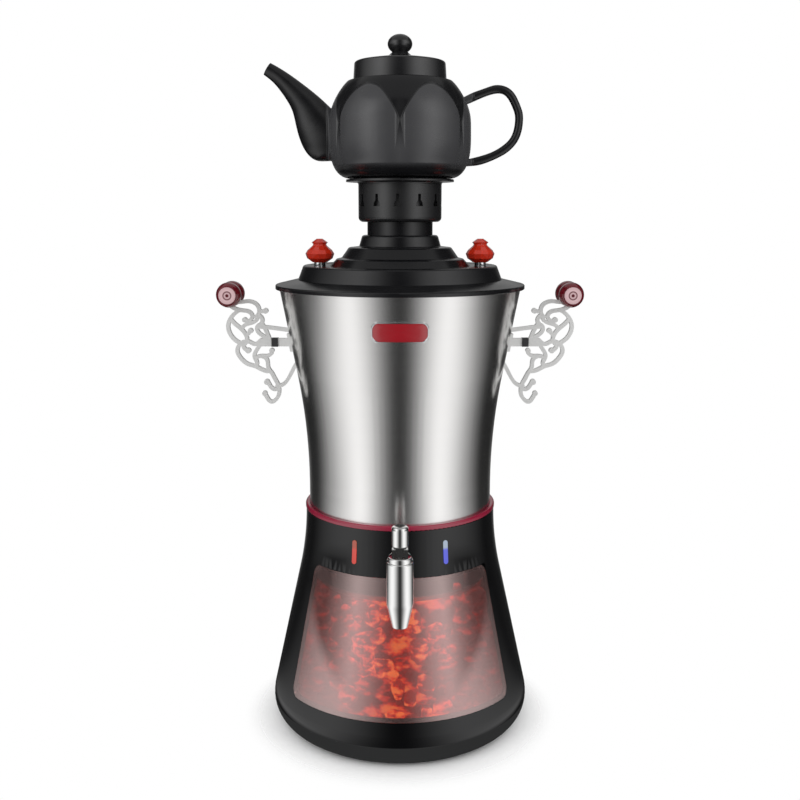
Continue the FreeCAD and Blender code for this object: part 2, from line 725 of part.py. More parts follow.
def heat_shield_parts():
    """Dished reflector hung under the heater on three standoffs."""
    low = Z_TANK - STANDOFF_LENGTH
    rod = disc(STANDOFF_R, low, Z_TANK, STANDOFF_CIRCLE_R)
    keep("shield_standoffs", Part.Compound(around(rod, STANDOFF_COUNT, 90)))
    keep("heat_shield", turned(rounded([
        (0, low - SHIELD_THICK), (SHIELD_R - 4, low - SHIELD_THICK), (SHIELD_R, low + SHIELD_RIM - SHIELD_THICK),
        (SHIELD_R, low + SHIELD_RIM), (SHIELD_R - 4 - SHIELD_THICK / 2, low), (0, low)])))


def ember_parts():
    """Tray, translucent ember cone and the lamp board beneath it."""
    top = Z_TRAY + TRAY_THICK
    keep("ember_tray", turned(rounded([
        (TRAY_HOLE_R, Z_TRAY), (TRAY_R, Z_TRAY), (TRAY_R, top + TRAY_RIM),
        (TRAY_R - TRAY_THICK, top + TRAY_RIM), (TRAY_R - TRAY_THICK, top), (TRAY_HOLE_R, top)])))
    high = top + EMBER_HEIGHT
    keep("ember_bed", turned(rounded([
        (EMBER_FOOT_R - EMBER_WALL, top), (EMBER_FOOT_R, top), (EMBER_TOP_R, high, 5),
        (0, high), (0, high - EMBER_WALL), (EMBER_TOP_R - EMBER_WALL, high - EMBER_WALL, 3)])))
    low = Z_RING + LED_PILLAR_HEIGHT
    keep("led_board", disc(LED_BOARD_R, low, low + LED_BOARD_THICK))
    lamps = []
    for radius in LED_RING_RADII:
        lamp = Part.makeBox(LED_SIZE, LED_SIZE, LED_HEIGHT, V(
            radius - LED_SIZE / 2, -LED_SIZE / 2, low + LED_BOARD_THICK))
        lamps += around(lamp, round(2 * math.pi * radius / LED_PITCH))
    keep("led_lamps", Part.Compound(lamps))


def flanged_box(flange, body, opening):
    """Snap-in housing: a flange on the panel, a body through it and a blind opening."""
    shape = block(flange[0], flange[2], flange[1]).fuse(block(body[0], body[2], body[1], y=-body[2]))
    return shape.cut(block(opening[0], opening[2] + 1, opening[1], y=flange[2] - opening[2])).removeSplitter()


def rocker():
    """Rocker with two sloping faces; at rest it leans to one side of its pivot."""
    long = SWITCH_OPENING[1] / 2 - 2 * PLAY
    slope = long * math.tan(math.radians(ROCKER_TILT))
    top = 2.4
    wide = SWITCH_OPENING[0] - 2 * PLAY
    corners = [(0, top), (-long, top + slope), (-long, top - 4.4), (-3, -ROCKER_TALL + 2.5),
               (3, -ROCKER_TALL + 2.5), (long, top - 4.4), (long, top + slope)]
    face = rounded(corners, lambda point: V(-wide / 2, point[1], point[0]))
    body = face.extrude(V(wide, 0, 0))
    pins = Part.makeCylinder(ROCKER_PIN_R, wide + 3.0, V(-(wide + 3.0) / 2, 0, 0), V(1, 0, 0))
    shape = body.fuse(pins).removeSplitter()
    shape.rotate(V(0, 0, 0), V(1, 0, 0), -ROCKER_TILT)
    shape.translate(V(SWITCH_PLACE, SWITCH_FLANGE[2] - ROCKER_PIVOT, 0))
    return shape


def rear_parts():
    """Power inlet with its pins, and the rocker switch beside it."""
    inlet = flanged_box(INLET_FLANGE, INLET_BODY, INLET_SOCKET)
    inlet.translate(V(INLET_PLACE, 0, 0))
    keep("power_inlet", rear(inlet))
    floor = INLET_FLANGE[2] - INLET_SOCKET[2]
    pins = []
    for x, z in ((-INLET_PIN_SPACING, -2.0), (INLET_PIN_SPACING, -2.0), (0, 2.0)):
        pins.append(block(INLET_PIN[0], INLET_PIN[2], INLET_PIN[1], INLET_PLACE + x, floor, z))
    keep("inlet_pins", rear(Part.Compound(pins)))
    frame = flanged_box(SWITCH_FLANGE, SWITCH_BODY, SWITCH_OPENING)
    hole = Part.makeCylinder(ROCKER_PIN_R + FIT, SWITCH_BODY[0] + 2, V(
        -SWITCH_BODY[0] / 2 - 1, SWITCH_FLANGE[2] - ROCKER_PIVOT, 0), V(1, 0, 0))
    frame = frame.cut(hole)
    frame.translate(V(SWITCH_PLACE, 0, 0))
    keep("switch_frame", rear(frame))
    keep("power_rocker", rear(rocker()))


Z_BARREL_TOP = Z_SHANK + TAP_BODY_TOP
Z_BARREL_LOW = Z_SHANK - TAP_BODY_LOW
Z_NOZZLE = Z_BARREL_LOW - NOZZLE_LENGTH
Z_BONNET = Z_BARREL_TOP + BONNET_THICK
Z_PIVOT = Z_BONNET + EAR_R
Z_STEM_TOP = Z_PIVOT - CAM_START_R - STEM_REST_GAP


def at_tap(shape):
    """Move a shape built on the Z axis to the tap's axis."""
    moved = shape.copy()
    moved.translate(V(0, TAP_Y, 0))
    return moved


def tap_body():
    """Barrel, tapering nozzle, valve seat and the threaded shank in one casting."""
    barrel = turned(rounded([
        (0, Z_NOZZLE), (NOZZLE_R, Z_NOZZLE, 0.8), (TAP_BODY_R, Z_BARREL_LOW, 14),
        (TAP_BODY_R, Z_BARREL_TOP, 1.2), (0, Z_BARREL_TOP)]))
    bore_r = TAP_BODY_R - TAP_WALL
    chamber = disc(bore_r, Z_BARREL_LOW + SEAT_THICK, Z_BARREL_TOP + 1)
    outlet = turned(rounded([
        (0, Z_NOZZLE - 1), (NOZZLE_R - TAP_WALL, Z_NOZZLE - 1), (NOZZLE_R - TAP_WALL, Z_NOZZLE + 6),
        (bore_r - 0.8, Z_BARREL_LOW - 4), (bore_r - 0.8, Z_BARREL_LOW), (0, Z_BARREL_LOW)]))
    seat = disc(SEAT_R, Z_BARREL_LOW - 1, Z_BARREL_LOW + SEAT_THICK + 1)
    wall = -skirt_r(Z_SHANK) - TAP_Y
    inside = -TANK_R + TANK_WALL + NUT_THICK + 4 - TAP_Y
    shank = along_y(SHANK_R, 0, inside, Z_SHANK)
    flange = along_y(SHANK_FLANGE_R, wall - TAP_WASHER_THICK - SHANK_FLANGE_THICK, wall - TAP_WASHER_THICK, Z_SHANK)
    bore = along_y(SHANK_BORE_R, 0, inside + 1, Z_SHANK)
    shape = joined([barrel, shank, flange]).cut(Part.Compound([chamber, outlet, seat, bore]))
    return at_tap(shape)


def tap_bonnet():
    """Collar screwed into the barrel, with two ears for the lever's pin."""
    bore_r = TAP_BODY_R - TAP_WALL - FIT
    collar = turned(rounded([
        (0, Z_BARREL_TOP - BONNET_NECK), (bore_r, Z_BARREL_TOP - BONNET_NECK), (bore_r, Z_BARREL_TOP),
        (BONNET_R, Z_BARREL_TOP), (BONNET_R, Z_BONNET, 1.0), (0, Z_BONNET)]))
    ears = []
    for side in (-1, 1):
        start = EAR_GAP / 2 if side > 0 else -EAR_GAP / 2 - EAR_THICK
        ears.append(Part.makeBox(EAR_THICK, 2 * EAR_R, EAR_R, V(start, -EAR_R, Z_BONNET)))
        ears.append(Part.makeCylinder(EAR_R, EAR_THICK, V(start, 0, Z_PIVOT), V(1, 0, 0)))
    shape = joined([collar] + ears)
    slot_low = Z_PIVOT - CAM_START_R - CAM_LIFT - 0.8
    slot = Part.makeBox(EAR_GAP, 2 * (CAM_START_R + CAM_LIFT), Z_BONNET - slot_low + 0.01, V(
        -EAR_GAP / 2, -CAM_START_R - CAM_LIFT, slot_low))
    stem_hole = disc(STEM_R + FIT, Z_BARREL_TOP - BONNET_NECK - 1, slot_low + 1)
    pin_hole = Part.makeCylinder(LEVER_PIN_R, 40, V(-20, 0, Z_PIVOT), V(1, 0, 0))
    return at_tap(shape.cut(Part.Compound([slot, stem_hole, pin_hole])))


def cam_point(degrees, radius):
    """Point of the cam, its angle measured from straight down towards the front."""
    turn = math.radians(degrees)
    return V(0, -radius * math.sin(turn), Z_PIVOT - radius * math.cos(turn))


def tap_lever():
    """Round grip on a tongue whose cam pushes the stem down as the lever tilts forward."""
    low = Z_PIVOT + LEVER_CLEAR
    high = low + LEVER_LENGTH
    grip = turned(rounded([
        (0, low), (LEVER_R, low, 1.4), (LEVER_R, high, 3.2), (0, high)]))
    wide = EAR_GAP - 2 * 0.2
    first = CAM_START_R
    last = CAM_START_R + CAM_LIFT
    cam = Part.BSplineCurve()
    steps = 5
    cam.interpolate([cam_point(LEVER_TILT * i / (steps - 1), first + (last - first) * i / (steps - 1))
                     for i in range(steps)])
    back = Part.Arc(cam_point(-90, first), cam_point(-45, first), cam_point(0, first)).toShape()
    tip = cam_point(LEVER_TILT, last)
    shoulder = V(0, -first, low + 1)
    rear_shoulder = V(0, first, low + 1)
    wire = Part.Wire([
        back, cam.toShape(), Part.LineSegment(tip, V(0, -first, Z_PIVOT + 1)).toShape(),
        Part.LineSegment(V(0, -first, Z_PIVOT + 1), shoulder).toShape(),
        Part.LineSegment(shoulder, rear_shoulder).toShape(),
        Part.LineSegment(rear_shoulder, cam_point(-90, first)).toShape()])
    tongue = Part.Face(wire).extrude(V(wide, 0, 0))
    tongue.translate(V(-wide / 2, 0, 0))
    hole = Part.makeCylinder(LEVER_PIN_R + FIT, wide + 2, V(-wide / 2 - 1, 0, Z_PIVOT), V(1, 0, 0))
    return at_tap(joined([grip, tongue]).cut(hole))


def tap_stem():
    """Rod from under the cam down through the seat, with a collar for the spring."""
    low = Z_BARREL_LOW - CUP_THICK - 0.4
    collar_z = Z_BARREL_TOP - BONNET_NECK - STEM_COLLAR_THICK - 0.4
    rod = disc(STEM_R, low, Z_STEM_TOP)
    collar = disc(STEM_COLLAR_R, collar_z, collar_z + STEM_COLLAR_THICK)
    return at_tap(joined([rod, collar]))


def arc_from(start, along, end):
    """Arc that leaves the start along a direction and reaches the end."""
    chord = end - start
    inward = (chord - along * chord.dot(along)).normalize()
    radius = chord.dot(chord) / (2 * chord.dot(inward))
    centre = start + inward * radius
    middle = ((start - centre) + (end - centre)).normalize()
    return Part.Arc(start, centre + middle * radius, end).toShape()


def biarc(start, start_along, end, end_along):
    """Two arcs, tangent to each other and to the directions at both ends."""
    span = end - start
    both = start_along + end_along
    spread = 2 * (1 - start_along.dot(end_along))
    reach = (math.sqrt(span.dot(both) ** 2 + spread * span.dot(span)) - span.dot(both)) / spread
    joint = (start + end + (start_along - end_along) * reach) * 0.5
    back = arc_from(end, end_along * -1, joint)
    return [arc_from(start, start_along, joint), back]


def helix_tube(radius, wire_r, low, high, turns):
    """Open coil of round wire between two heights: one pipe along quarter-turn pairs of arcs."""
    pitch = (high - low) / turns
    places = []
    for i in range(4 * turns + 1):
        turn = math.pi / 2 * i
        place = V(radius * math.cos(turn), radius * math.sin(turn), low + pitch * i / 4)
        along = V(-radius * math.sin(turn), radius * math.cos(turn), pitch / (2 * math.pi)).normalize()
        places.append((place, along))
    edges = []
    for here, following in zip(places, places[1:]):
        edges += biarc(*here, *following)
    pipe = Part.BRepOffsetAPI.MakePipeShell(Part.Wire(Part.__sortEdges__(edges)))
    pipe.add(Part.Wire([Part.Circle(places[0][0], places[0][1], wire_r).toShape()]))
    pipe.build()
    pipe.makeSolid()
    gap = min((a[0] - b[0]).Length for a, b in zip(places, places[4:])) - 2 * wire_r
    print("least gap between the spring's turns", round(gap, 2), "mm")
    return pipe.shape()


def tap_parts():
    """Every piece of the tap, from the washers on its shank to the lever."""
    keep("tap_body", tap_body())
    wall = -skirt_r(Z_SHANK)
    inner = -TANK_R + TANK_WALL
    core = along_y(SHANK_R + FIT, wall - 10, inner + 10, Z_SHANK)
    cone = turned(skirt_band(-GLUE, 60, Z_SHANK - 15, Z_SHANK + 15))
    tank_core = disc(TANK_R - TANK_WALL, Z_SHANK - 20, Z_SHANK + 20)
    first = along_y(SHANK_FLANGE_R, wall - TAP_WASHER_THICK, wall, Z_SHANK).cut(core).cut(cone)
    deep = along_y(SHANK_FLANGE_R, inner - 4, inner + TAP_WASHER_THICK, Z_SHANK)
    second = deep.common(tank_core).cut(core)
    keep("tap_washers", Part.Compound([first, second]))
    nut_y = inner + TAP_WASHER_THICK
    points = []
    for i in range(7):
        turn = math.radians(60 * i)
        points.append(V(NUT_ACROSS / math.sqrt(3) * math.cos(turn), nut_y,
                        Z_SHANK + NUT_ACROSS / math.sqrt(3) * math.sin(turn)))
    nut = Part.Face(Part.makePolygon(points)).extrude(V(0, NUT_THICK, 0))
    keep("tap_nut", nut.cut(core))
    keep("tap_bonnet", tap_bonnet())
    pin = Part.makeCylinder(LEVER_PIN_R, EAR_GAP + 2 * EAR_THICK, V(
        -EAR_GAP / 2 - EAR_THICK, 0, Z_PIVOT), V(1, 0, 0))
    keep("tap_pin", at_tap(pin))
    keep("tap_lever", tap_lever())
    keep("tap_stem", tap_stem())
    cup = disc(CUP_R, Z_BARREL_LOW - CUP_THICK - FIT, Z_BARREL_LOW - FIT)
    keep("valve_cup", at_tap(cup.cut(disc(STEM_R, Z_BARREL_LOW - 9, Z_BARREL_LOW + 9))))
    low = Z_BARREL_LOW + SEAT_THICK + SPRING_WIRE_R
    high = Z_BARREL_TOP - BONNET_NECK - STEM_COLLAR_THICK - 0.4 - SPRING_WIRE_R
    keep("tap_spring", at_tap(helix_tube(SEAT_R + 1.2, SPRING_WIRE_R, low, high, SPRING_TURNS)))


def top_rim():
    """Black ring over the steel's edge, with a collar that the lid drops into."""
    out_r = steel_r(Z_STEEL_TOP) + RIM_OUT
    skirt = Z_RIM - RIM_SKIRT
    groove_r = steel_r(Z_STEEL_TOP) + PLAY
    collar_r = RIM_HOLE_R + RIM_WALL
    return turned(rounded([
        (RIM_HOLE_R, Z_LID - RIM_DROP), (collar_r, Z_LID - RIM_DROP), (collar_r, Z_RIM), (groove_r, Z_RIM),
        (groove_r, skirt), (out_r, skirt, 0.6), (out_r, Z_RIM + 0.6, 1.2),
        (LID_R + 1.5, Z_LID), (RIM_HOLE_R, Z_LID)]))


def lid_outline(wall):
    """Corners of the stepped dome from its band to its neck, moved in by the wall."""
    return [
        (LID_R - wall, Z_LID, 0), (LID_BAND_TOP_R - wall, Z_LID_EDGE - wall, 0 if wall else 2.0),
        (LID_BAND_TOP_R - 3 - wall, Z_LID_FLAT - wall, 0),
        (STEP_3[0] - wall, Z_LID_FLAT - wall, 0 if wall else 0.8),
        (STEP_3[1] - wall, Z_STEP_3 - wall, 0 if wall else 2.2),
        (STEP_2[0] - wall, Z_STEP_3 + STEP_FLAT - wall, 0),
        (STEP_2[1] - wall, Z_STEP_2 - wall, 0 if wall else 2.4),
        (STEP_1[0] - wall, Z_STEP_2 + STEP_FLAT - wall, 0 if wall else 0.6),
        (STEP_1[1] - wall, Z_STEP_1 - wall, 0 if wall else 2.6),
        (LID_NECK_R - wall, Z_STEP_1 - wall, 0)]


def lid_dome():
    """Stepped lid with a plug that centres it in the rim and an open neck for steam."""
    outer = lid_outline(0)
    inner = lid_outline(LID_WALL)[1:]
    plug_r = RIM_HOLE_R - PLAY
    corners = [(plug_r - LID_WALL, Z_LID - LID_PLUG), (plug_r, Z_LID - LID_PLUG), (plug_r, Z_LID)]
    corners += outer
    corners += [(LID_NECK_R, Z_CROWN), (LID_NECK_R - LID_WALL, Z_CROWN)]
    corners += inner[::-1]
    corners[-1] = (plug_r - LID_WALL, Z_LID_EDGE - LID_WALL - 1.5)
    dome = turned(rounded(corners))
    for side in (-1, 1):
        dome = dome.cut(disc(KNOB_STUD_R + FIT, Z_LID, Z_LID_EDGE + 5, side * KNOB_PLACE))
    return dome


def lid_knob(side):
    """Faceted red bead: a waisted stack of pyramids whose rings are polygons."""
    base = Z_LID_FLAT + KNOB_FOOT
    wires = []
    for radius, rise in KNOB_RINGS:
        points = []
        for i in range(KNOB_FACES + 1):
            turn = 2 * math.pi * i / KNOB_FACES
            points.append(V(side * KNOB_PLACE + radius * math.cos(turn), radius * math.sin(turn), base + rise))
        wires.append(Part.makePolygon(points))
    bead = Part.makeLoft(wires, True, True)
    return bead.cut(disc(KNOB_STUD_R + FIT, base - 1, base + 10, side * KNOB_PLACE))


def knob_fitting(side):
    """Chrome foot under the bead with a stud through the lid into the bead, and its nut."""
    x = side * KNOB_PLACE
    foot = disc(KNOB_FOOT_R, Z_LID_FLAT, Z_LID_FLAT + KNOB_FOOT, x)
    stud = disc(KNOB_STUD_R, Z_LID_FLAT - LID_WALL - 4, Z_LID_FLAT + KNOB_FOOT + 9, x)
    nut = disc(KNOB_STUD_R + 2, Z_LID_FLAT - LID_WALL - 3, Z_LID_FLAT - LID_WALL, x)
    return joined([foot, stud, nut])


def lid_parts():
    keep("lid_dome", lid_dome())
    plug_r = RIM_HOLE_R - PLAY
    keep("lid_seal", ring(plug_r - LID_WALL - SEAL_R, plug_r - LID_WALL, Z_LID - LID_PLUG + 1, Z_LID - LID_PLUG + 5))
    keep("lid_knob_left", lid_knob(-1))
    keep("lid_knob_right", lid_knob(1))
    keep("knob_fittings", Part.Compound([knob_fitting(-1), knob_fitting(1)]))


def crown():
    """Cast collar with a ring of bell-shaped cut-outs and a flat plate for the teapot."""
    inner = CROWN_R - CROWN_WALL
    spigot_r = LID_NECK_R - LID_WALL - FIT
    hole_r = spigot_r - LID_WALL
    plate_low = Z_SEAT - CROWN_PLATE
    drum = turned(rounded([
        (spigot_r, Z_CROWN - CROWN_SPIGOT), (spigot_r, Z_CROWN), (CROWN_R, Z_CROWN, CROWN_CORNER_R),
        (CROWN_R, plate_low, 2.5), (CROWN_PLATE_R, plate_low), (CROWN_PLATE_R, Z_SEAT, 0.8),
        (CROWN_HOLE_R, Z_SEAT), (CROWN_HOLE_R, plate_low), (inner, plate_low, 2.0),
        (inner, Z_CROWN + CROWN_WALL, 2.0), (hole_r, Z_CROWN + CROWN_WALL), (hole_r, Z_CROWN - CROWN_SPIGOT)]))
    low = Z_CROWN + CUT_RISE
    half, head, tall = CUT_FOOT_HALF, CUT_HEAD_HALF, CUT_TALL
    face = rounded([
        (-half, low), (half, low), (half * 0.85, low + tall * 0.3, 1.5), (head, low + tall * 0.5, 1.5),
        (head, low + tall, 0.6), (-head, low + tall, 0.6), (-head, low + tall * 0.5, 1.5),
        (-half * 0.85, low + tall * 0.3, 1.5)])
    bell = face.extrude(V(0, -(CROWN_WALL + 8), 0))
    bell.translate(V(0, -(inner - 4), 0))
    return drum.cut(Part.Compound(around(bell, CUT_COUNT, -CUT_TURN)))


def lobed_wire(radius, depth, z):
    """Closed ring of equal arcs, meeting at seams that lie a depth inside the radius."""
    edges = []
    step = 360.0 / POT_LOBES
    for i in range(POT_LOBES):
        start = polar(radius - depth, i * step)
        mid = polar(radius, (i + 0.5) * step)
        end = polar(radius - depth, (i + 1) * step)
        edges.append(Part.Arc(V(*start, z), V(*mid, z), V(*end, z)).toShape())
    return Part.Wire(edges)


def pot_shell(wall, lobes):
    """Barrel of the teapot lofted through rings; the wall moves it inwards."""
    rings = [(0.0, 0.75, 0.3), (0.1, 0.915, 0.8), (0.2, 0.972, 1.0), (0.35, 1.0, 1.0), (0.52, 1.0, 1.0),
             (0.68, 0.982, 1.0), (0.82, 0.912, 0.6), (0.92, 0.83, 0.2), (1.0, 0.737, 0.0)]
    wires = []
    for rise, share, lobe in rings:
        z = Z_SEAT + min(max(POT_HEIGHT * rise, wall + 1), POT_HEIGHT - wall)
        depth = POT_LOBE_DEPTH * lobe if lobes else 0.01
        wires.append(lobed_wire(POT_R * share - wall, depth, z))
    return Part.makeLoft(wires, True, False)


def tube(stations, wall=0.0):
    """Loft through ovals (centre x, z, half height, width share) square to their line in the XZ plane."""
    wires = []
    count = len(stations)
    for i, (x, z, half, share) in enumerate(stations):
        before = stations[max(i - 1, 0)]
        after = stations[min(i + 1, count - 1)]
        across = V(before[1] - after[1], 0, after[0] - before[0]).normalize()
        centre = V(x, 0, z)
        high = half - wall
        wide = half * share - wall
        oval = Part.Ellipse(centre + across * high, centre + V(0, wide, 0), centre)
        wires.append(Part.Wire([oval.toShape()]))
    return Part.makeLoft(wires, True, False)


SPOUT = ((-42.0, 28.5, 21.0, 0.62), (-57.5, 34.0, 22.0, 0.6), (-71.0, 46.5, 18.0, 0.62),
         (-79.6, 61.9, 12.4, 0.72), (-88.0, 71.5, 9.4, 0.84), (-97.6, 80.8, 7.2, 0.94),
         (-104.8, 86.4, 6.1, 0.97), (-110.5, 90.0, 5.6, 0.98))
EAR = ((50.0, 63.5), (57.0, 65.5), (66.5, 69.5), (76.0, 72.8), (84.0, 73.6), (91.2, 70.2), (96.3, 62.5),
       (99.6, 54.0), (99.8, 45.5), (98.0, 37.0), (93.5, 29.5), (85.0, 22.8), (75.5, 18.3), (63.5, 14.8), (52.0, 13.5))


def teapot_body():
    """Six-lobed pot with its foot, neck, spout and ear, hollow from mouth to spout."""
    foot = turned(rounded([
        (POT_FOOT_R - POT_FOOT_WALL, Z_SEAT, 0.8), (POT_FOOT_R, Z_SEAT, 0.8),
        (POT_FOOT_R + 2, Z_SEAT + POT_FOOT + 3), (POT_FOOT_R - POT_FOOT_WALL - 2, Z_SEAT + POT_FOOT + 3)]))
    neck = ring(POT_MOUTH_R, POT_NECK_R, Z_POT_SHOULDER - 4, Z_POT_SHOULDER + POT_NECK)
    spout = tube([(x, Z_SEAT + z, half, share) for x, z, half, share in SPOUT])
    ear = tube([(x, Z_SEAT + z, HANDLE_TUBE_R, 0.99) for x, z in EAR])
    solid = joined([pot_shell(0, True), foot, neck, spout, ear])
    cavity = pot_shell(POT_WALL, False)
    mouth = disc(POT_MOUTH_R, Z_POT_SHOULDER - 12, Z_POT_SHOULDER + POT_NECK + 1)
    bore = tube([(x, Z_SEAT + z, half, share) for x, z, half, share in SPOUT], SPOUT_WALL)
    bore.translate(V(-0.3, 0, 0.2))
    return solid.cut(cavity.fuse(mouth)).cut(bore)


def teapot_lid():
    """Cap that sits over the neck, with a low cone and a flattened ball for a knob."""
    low = Z_POT_SHOULDER + PLAY
    top = low + CAP_SKIRT
    neck_z = top + CAP_CONE
    ball_z = neck_z + CAP_KNOB_HEIGHT / 2 + 0.6
    seat = Z_POT_SHOULDER + POT_NECK
    cap = turned(rounded([
        (0, seat), (POT_NECK_R + PLAY, seat), (POT_NECK_R + PLAY, low), (CAP_R, low, 0.8), (CAP_TOP_R, top, 2.0),
        (CAP_KNOB_NECK_R + 4, neck_z - 1.0, 3.0), (CAP_KNOB_NECK_R, neck_z + 2.5), (0, neck_z + 2.5)]))
    ball = Part.makeSphere(CAP_KNOB_R)
    squash = FreeCAD.Matrix()
    squash.scale(1, 1, CAP_KNOB_HEIGHT / 2 / CAP_KNOB_R)
    ball = ball.transformGeometry(squash)
    ball.translate(V(0, 0, ball_z))
    return joined([cap, ball])


Z_ARM = Z_STEEL_TOP - ARM_DROP
ARM_R = steel_r(Z_ARM)

# Scroll strokes, measured out from the steel and up from the arm's middle line
STROKES = (
    ((50.5, 37.5), (44.5, 35.0), (36.4, 35.7), (28.8, 31.8), (27.7, 26.7), (30.7, 22.3)),
    ((22.2, 27.4), (25.0, 26.9), (27.7, 26.7)),
    ((54.5, 37.5), (50.5, 30.4), (42.3, 27.8), (35.8, 26.2), (33.7, 23.2), (35.6, 19.4), (40.4, 19.6)),
    ((45.0, 27.6), (52.5, 21.2), (55.0, 14.4), (52.9, 6.4), (47.0, 0.4), (41.0, -1.6)),
    ((52.5, 20.5), (48.3, 15.6), (43.2, 11.2), (39.4, 5.7), (39.2, 0.0)),
    ((43.2, 11.4), (38.8, 15.7), (32.0, 17.9), (29.4, 21.9)),
    ((30.3, 22.3), (25.5, 21.4), (25.6, 17.0), (28.7, 14.9)),
    ((28.7, 14.9), (29.7, 10.5), (26.3, 6.6), (20.7, 3.0)),
    ((26.1, 17.0), (23.1, 12.2), (21.1, 7.9), (19.0, 2.4)),
    ((41.2, 0.4), (45.5, -2.1), (47.6, -7.3), (44.9, -13.6), (38.3, -19.3), (32.1, -21.2), (27.3, -23.7),
     (20.6, -25.6)),
    ((38.0, -7.3), (41.7, -4.4), (42.2, -1.6), (39.2, 0.9), (34.0, -1.1), (28.0, 0.6)),
    ((27.3, -2.0), (31.3, -7.8), (32.8, -12.1), (30.6, -18.3), (32.7, -21.0)),
    ((31.5, -14.1), (26.1, -12.1), (20.3, -11.7), (17.4, -7.3)),
    ((25.1, -12.7), (21.6, -16.0), (20.6, -23.1), (18.3, -26.5), (15.5, -31.8), (13.2, -36.1), (11.8, -41.4),
     (12.5, -47.2), (15.5, -51.4), (18.4, -52.8), (22.2, -49.5), (24.5, -45.2)),
    ((22.3, -35.1), (20.4, -37.1), (18.6, -39.9), (12.4, -40.4)),
    ((35.6, 10.1), (37.7, 7.5), (39.4, 5.7)),
    ((27.5, 13.6), (20.0, 13.0), (10.0, 11.7), (0.0, 10.4)),
    ((13.4, -38.4), (7.5, -36.8), (3.4, -31.8), (-0.5, -24.5), (-5.0, -17.0)),
)
BUDS = ((22.2, 27.4, 2.4), (40.4, 19.6, 2.2), (35.6, 10.1, 2.3), (38.0, -7.3, 2.4), (17.4, -7.3, 2.2),
        (22.3, -35.1, 2.5), (24.5, -45.2, 2.2))
SCROLL_LOW = min(point[1] for stroke in STROKES for point in stroke)
GRIP_OUT = 52.2
GRIP_UP = 41.8


def scroll_point(point):
    return V(ARM_R + point[0], 0, Z_ARM + point[1])


def stroke_face(points):
    """Ribbon of constant width round a smooth line through the points, with round ends."""
    curve = Part.BSplineCurve()
    curve.interpolate([scroll_point(point) for point in points])
    line = curve.toShape()
    count = max(5, int(line.Length / 2.6))
    first, last = curve.FirstParameter, curve.LastParameter
    sides = {1: [], -1: []}
    for i in range(count):
        step = first + (last - first) * i / (count - 1)
        along = curve.tangent(step)[0]
        across = V(-along.z, 0, along.x)
        for side in sides:
            sides[side].append(curve.value(step) + across * (side * STROKE / 2))
    edges = []
    for side in sides:
        edge = Part.BSplineCurve()
        edge.interpolate(sides[side])
        edges.append(edge.toShape())
    for step, way in ((first, -1), (last, 1)):
        tip = curve.value(step) + curve.tangent(step)[0] * (way * STROKE / 2)
        end = 0 if way < 0 else -1
        edges.append(Part.Arc(sides[1][end], tip, sides[-1][end]).toShape())
    return Part.Face(Part.Wire(Part.__sortEdges__(edges)))


def bar_face(points):
    """Flat bar with square corners, from points measured like the strokes."""
    corners = [scroll_point(point) for point in points]
    return Part.Face(Part.makePolygon(corners + corners[:1]))


def slab(face, thick):
    """Plate of a given thickness, centred on the XZ plane."""
    plate = face.extrude(V(0, thick, 0))
    plate.translate(V(0, -thick / 2, 0))
    return plate


def handle_scroll():
    """Cast scrollwork: curling strokes, buds, the eye for the grip and the bolted arm."""
    eye = along_y(GRIP_CAP_R, -SCROLL_THICK / 2, SCROLL_THICK / 2, Z_ARM + GRIP_UP, ARM_R + GRIP_OUT)
    pieces = [slab(stroke_face(points), SCROLL_THICK) for points in STROKES]
    for x, z, radius in BUDS:
        pieces.append(along_y(radius, -SCROLL_THICK / 2, SCROLL_THICK / 2, Z_ARM + z, ARM_R + x))
    half = ARM_TALL / 2
    start = BRACKET_REACH + INSULATOR_LENGTH
    arm = bar_face([(start, -half), (27.5, -half), (31.5, 0.0), (27.5, half), (start, half)])
    pieces.append(slab(arm, SCROLL_THICK))
    solid = joined([eye] + pieces)
    bolt = along_y(GRIP_BOLT_R + FIT, -SCROLL_THICK, SCROLL_THICK, Z_ARM + GRIP_UP, ARM_R + GRIP_OUT)
    return solid.cut(bolt).cut(steel_solid(-GLUE))


def handle_bracket():
    """Foot pad that follows the steel, with the stub that the scroll is bolted to."""
    half = ARM_TALL / 2
    stub = slab(bar_face([(-3, -half), (BRACKET_REACH, -half), (BRACKET_REACH, half), (-3, half)]), SCROLL_THICK)
    shaft = Part.makeBox(16, PAD_WIDE, PAD_TALL, V(ARM_R - 10, -PAD_WIDE / 2, Z_ARM - PAD_TALL / 2))
    pad = shaft.common(steel_solid(-PAD_THICK))
    return joined([stub, pad]).cut(steel_solid(-GLUE))


def steel_solid(inset):
    """Filled body of the steel shell, moved in by the inset."""
    low = Z_ARM + SCROLL_LOW - 4 * STROKE
    knee = knee_z(Z_STEEL_BEND, STEEL_BEND_R, STEEL_LEAN, inset, 1)
    high = Z_STEEL_TOP
    if low > knee:
        return turned(profile((0, low), (steel_r(low, inset), low), (steel_r(high, inset), high), (0, high)))
    mid = (low + knee) / 2
    return turned(profile(
        (0, low), (steel_r(low, inset), low), ((steel_r(mid, inset), mid), (steel_r(knee, inset), knee)),
        (steel_r(high, inset), high), (0, high)))


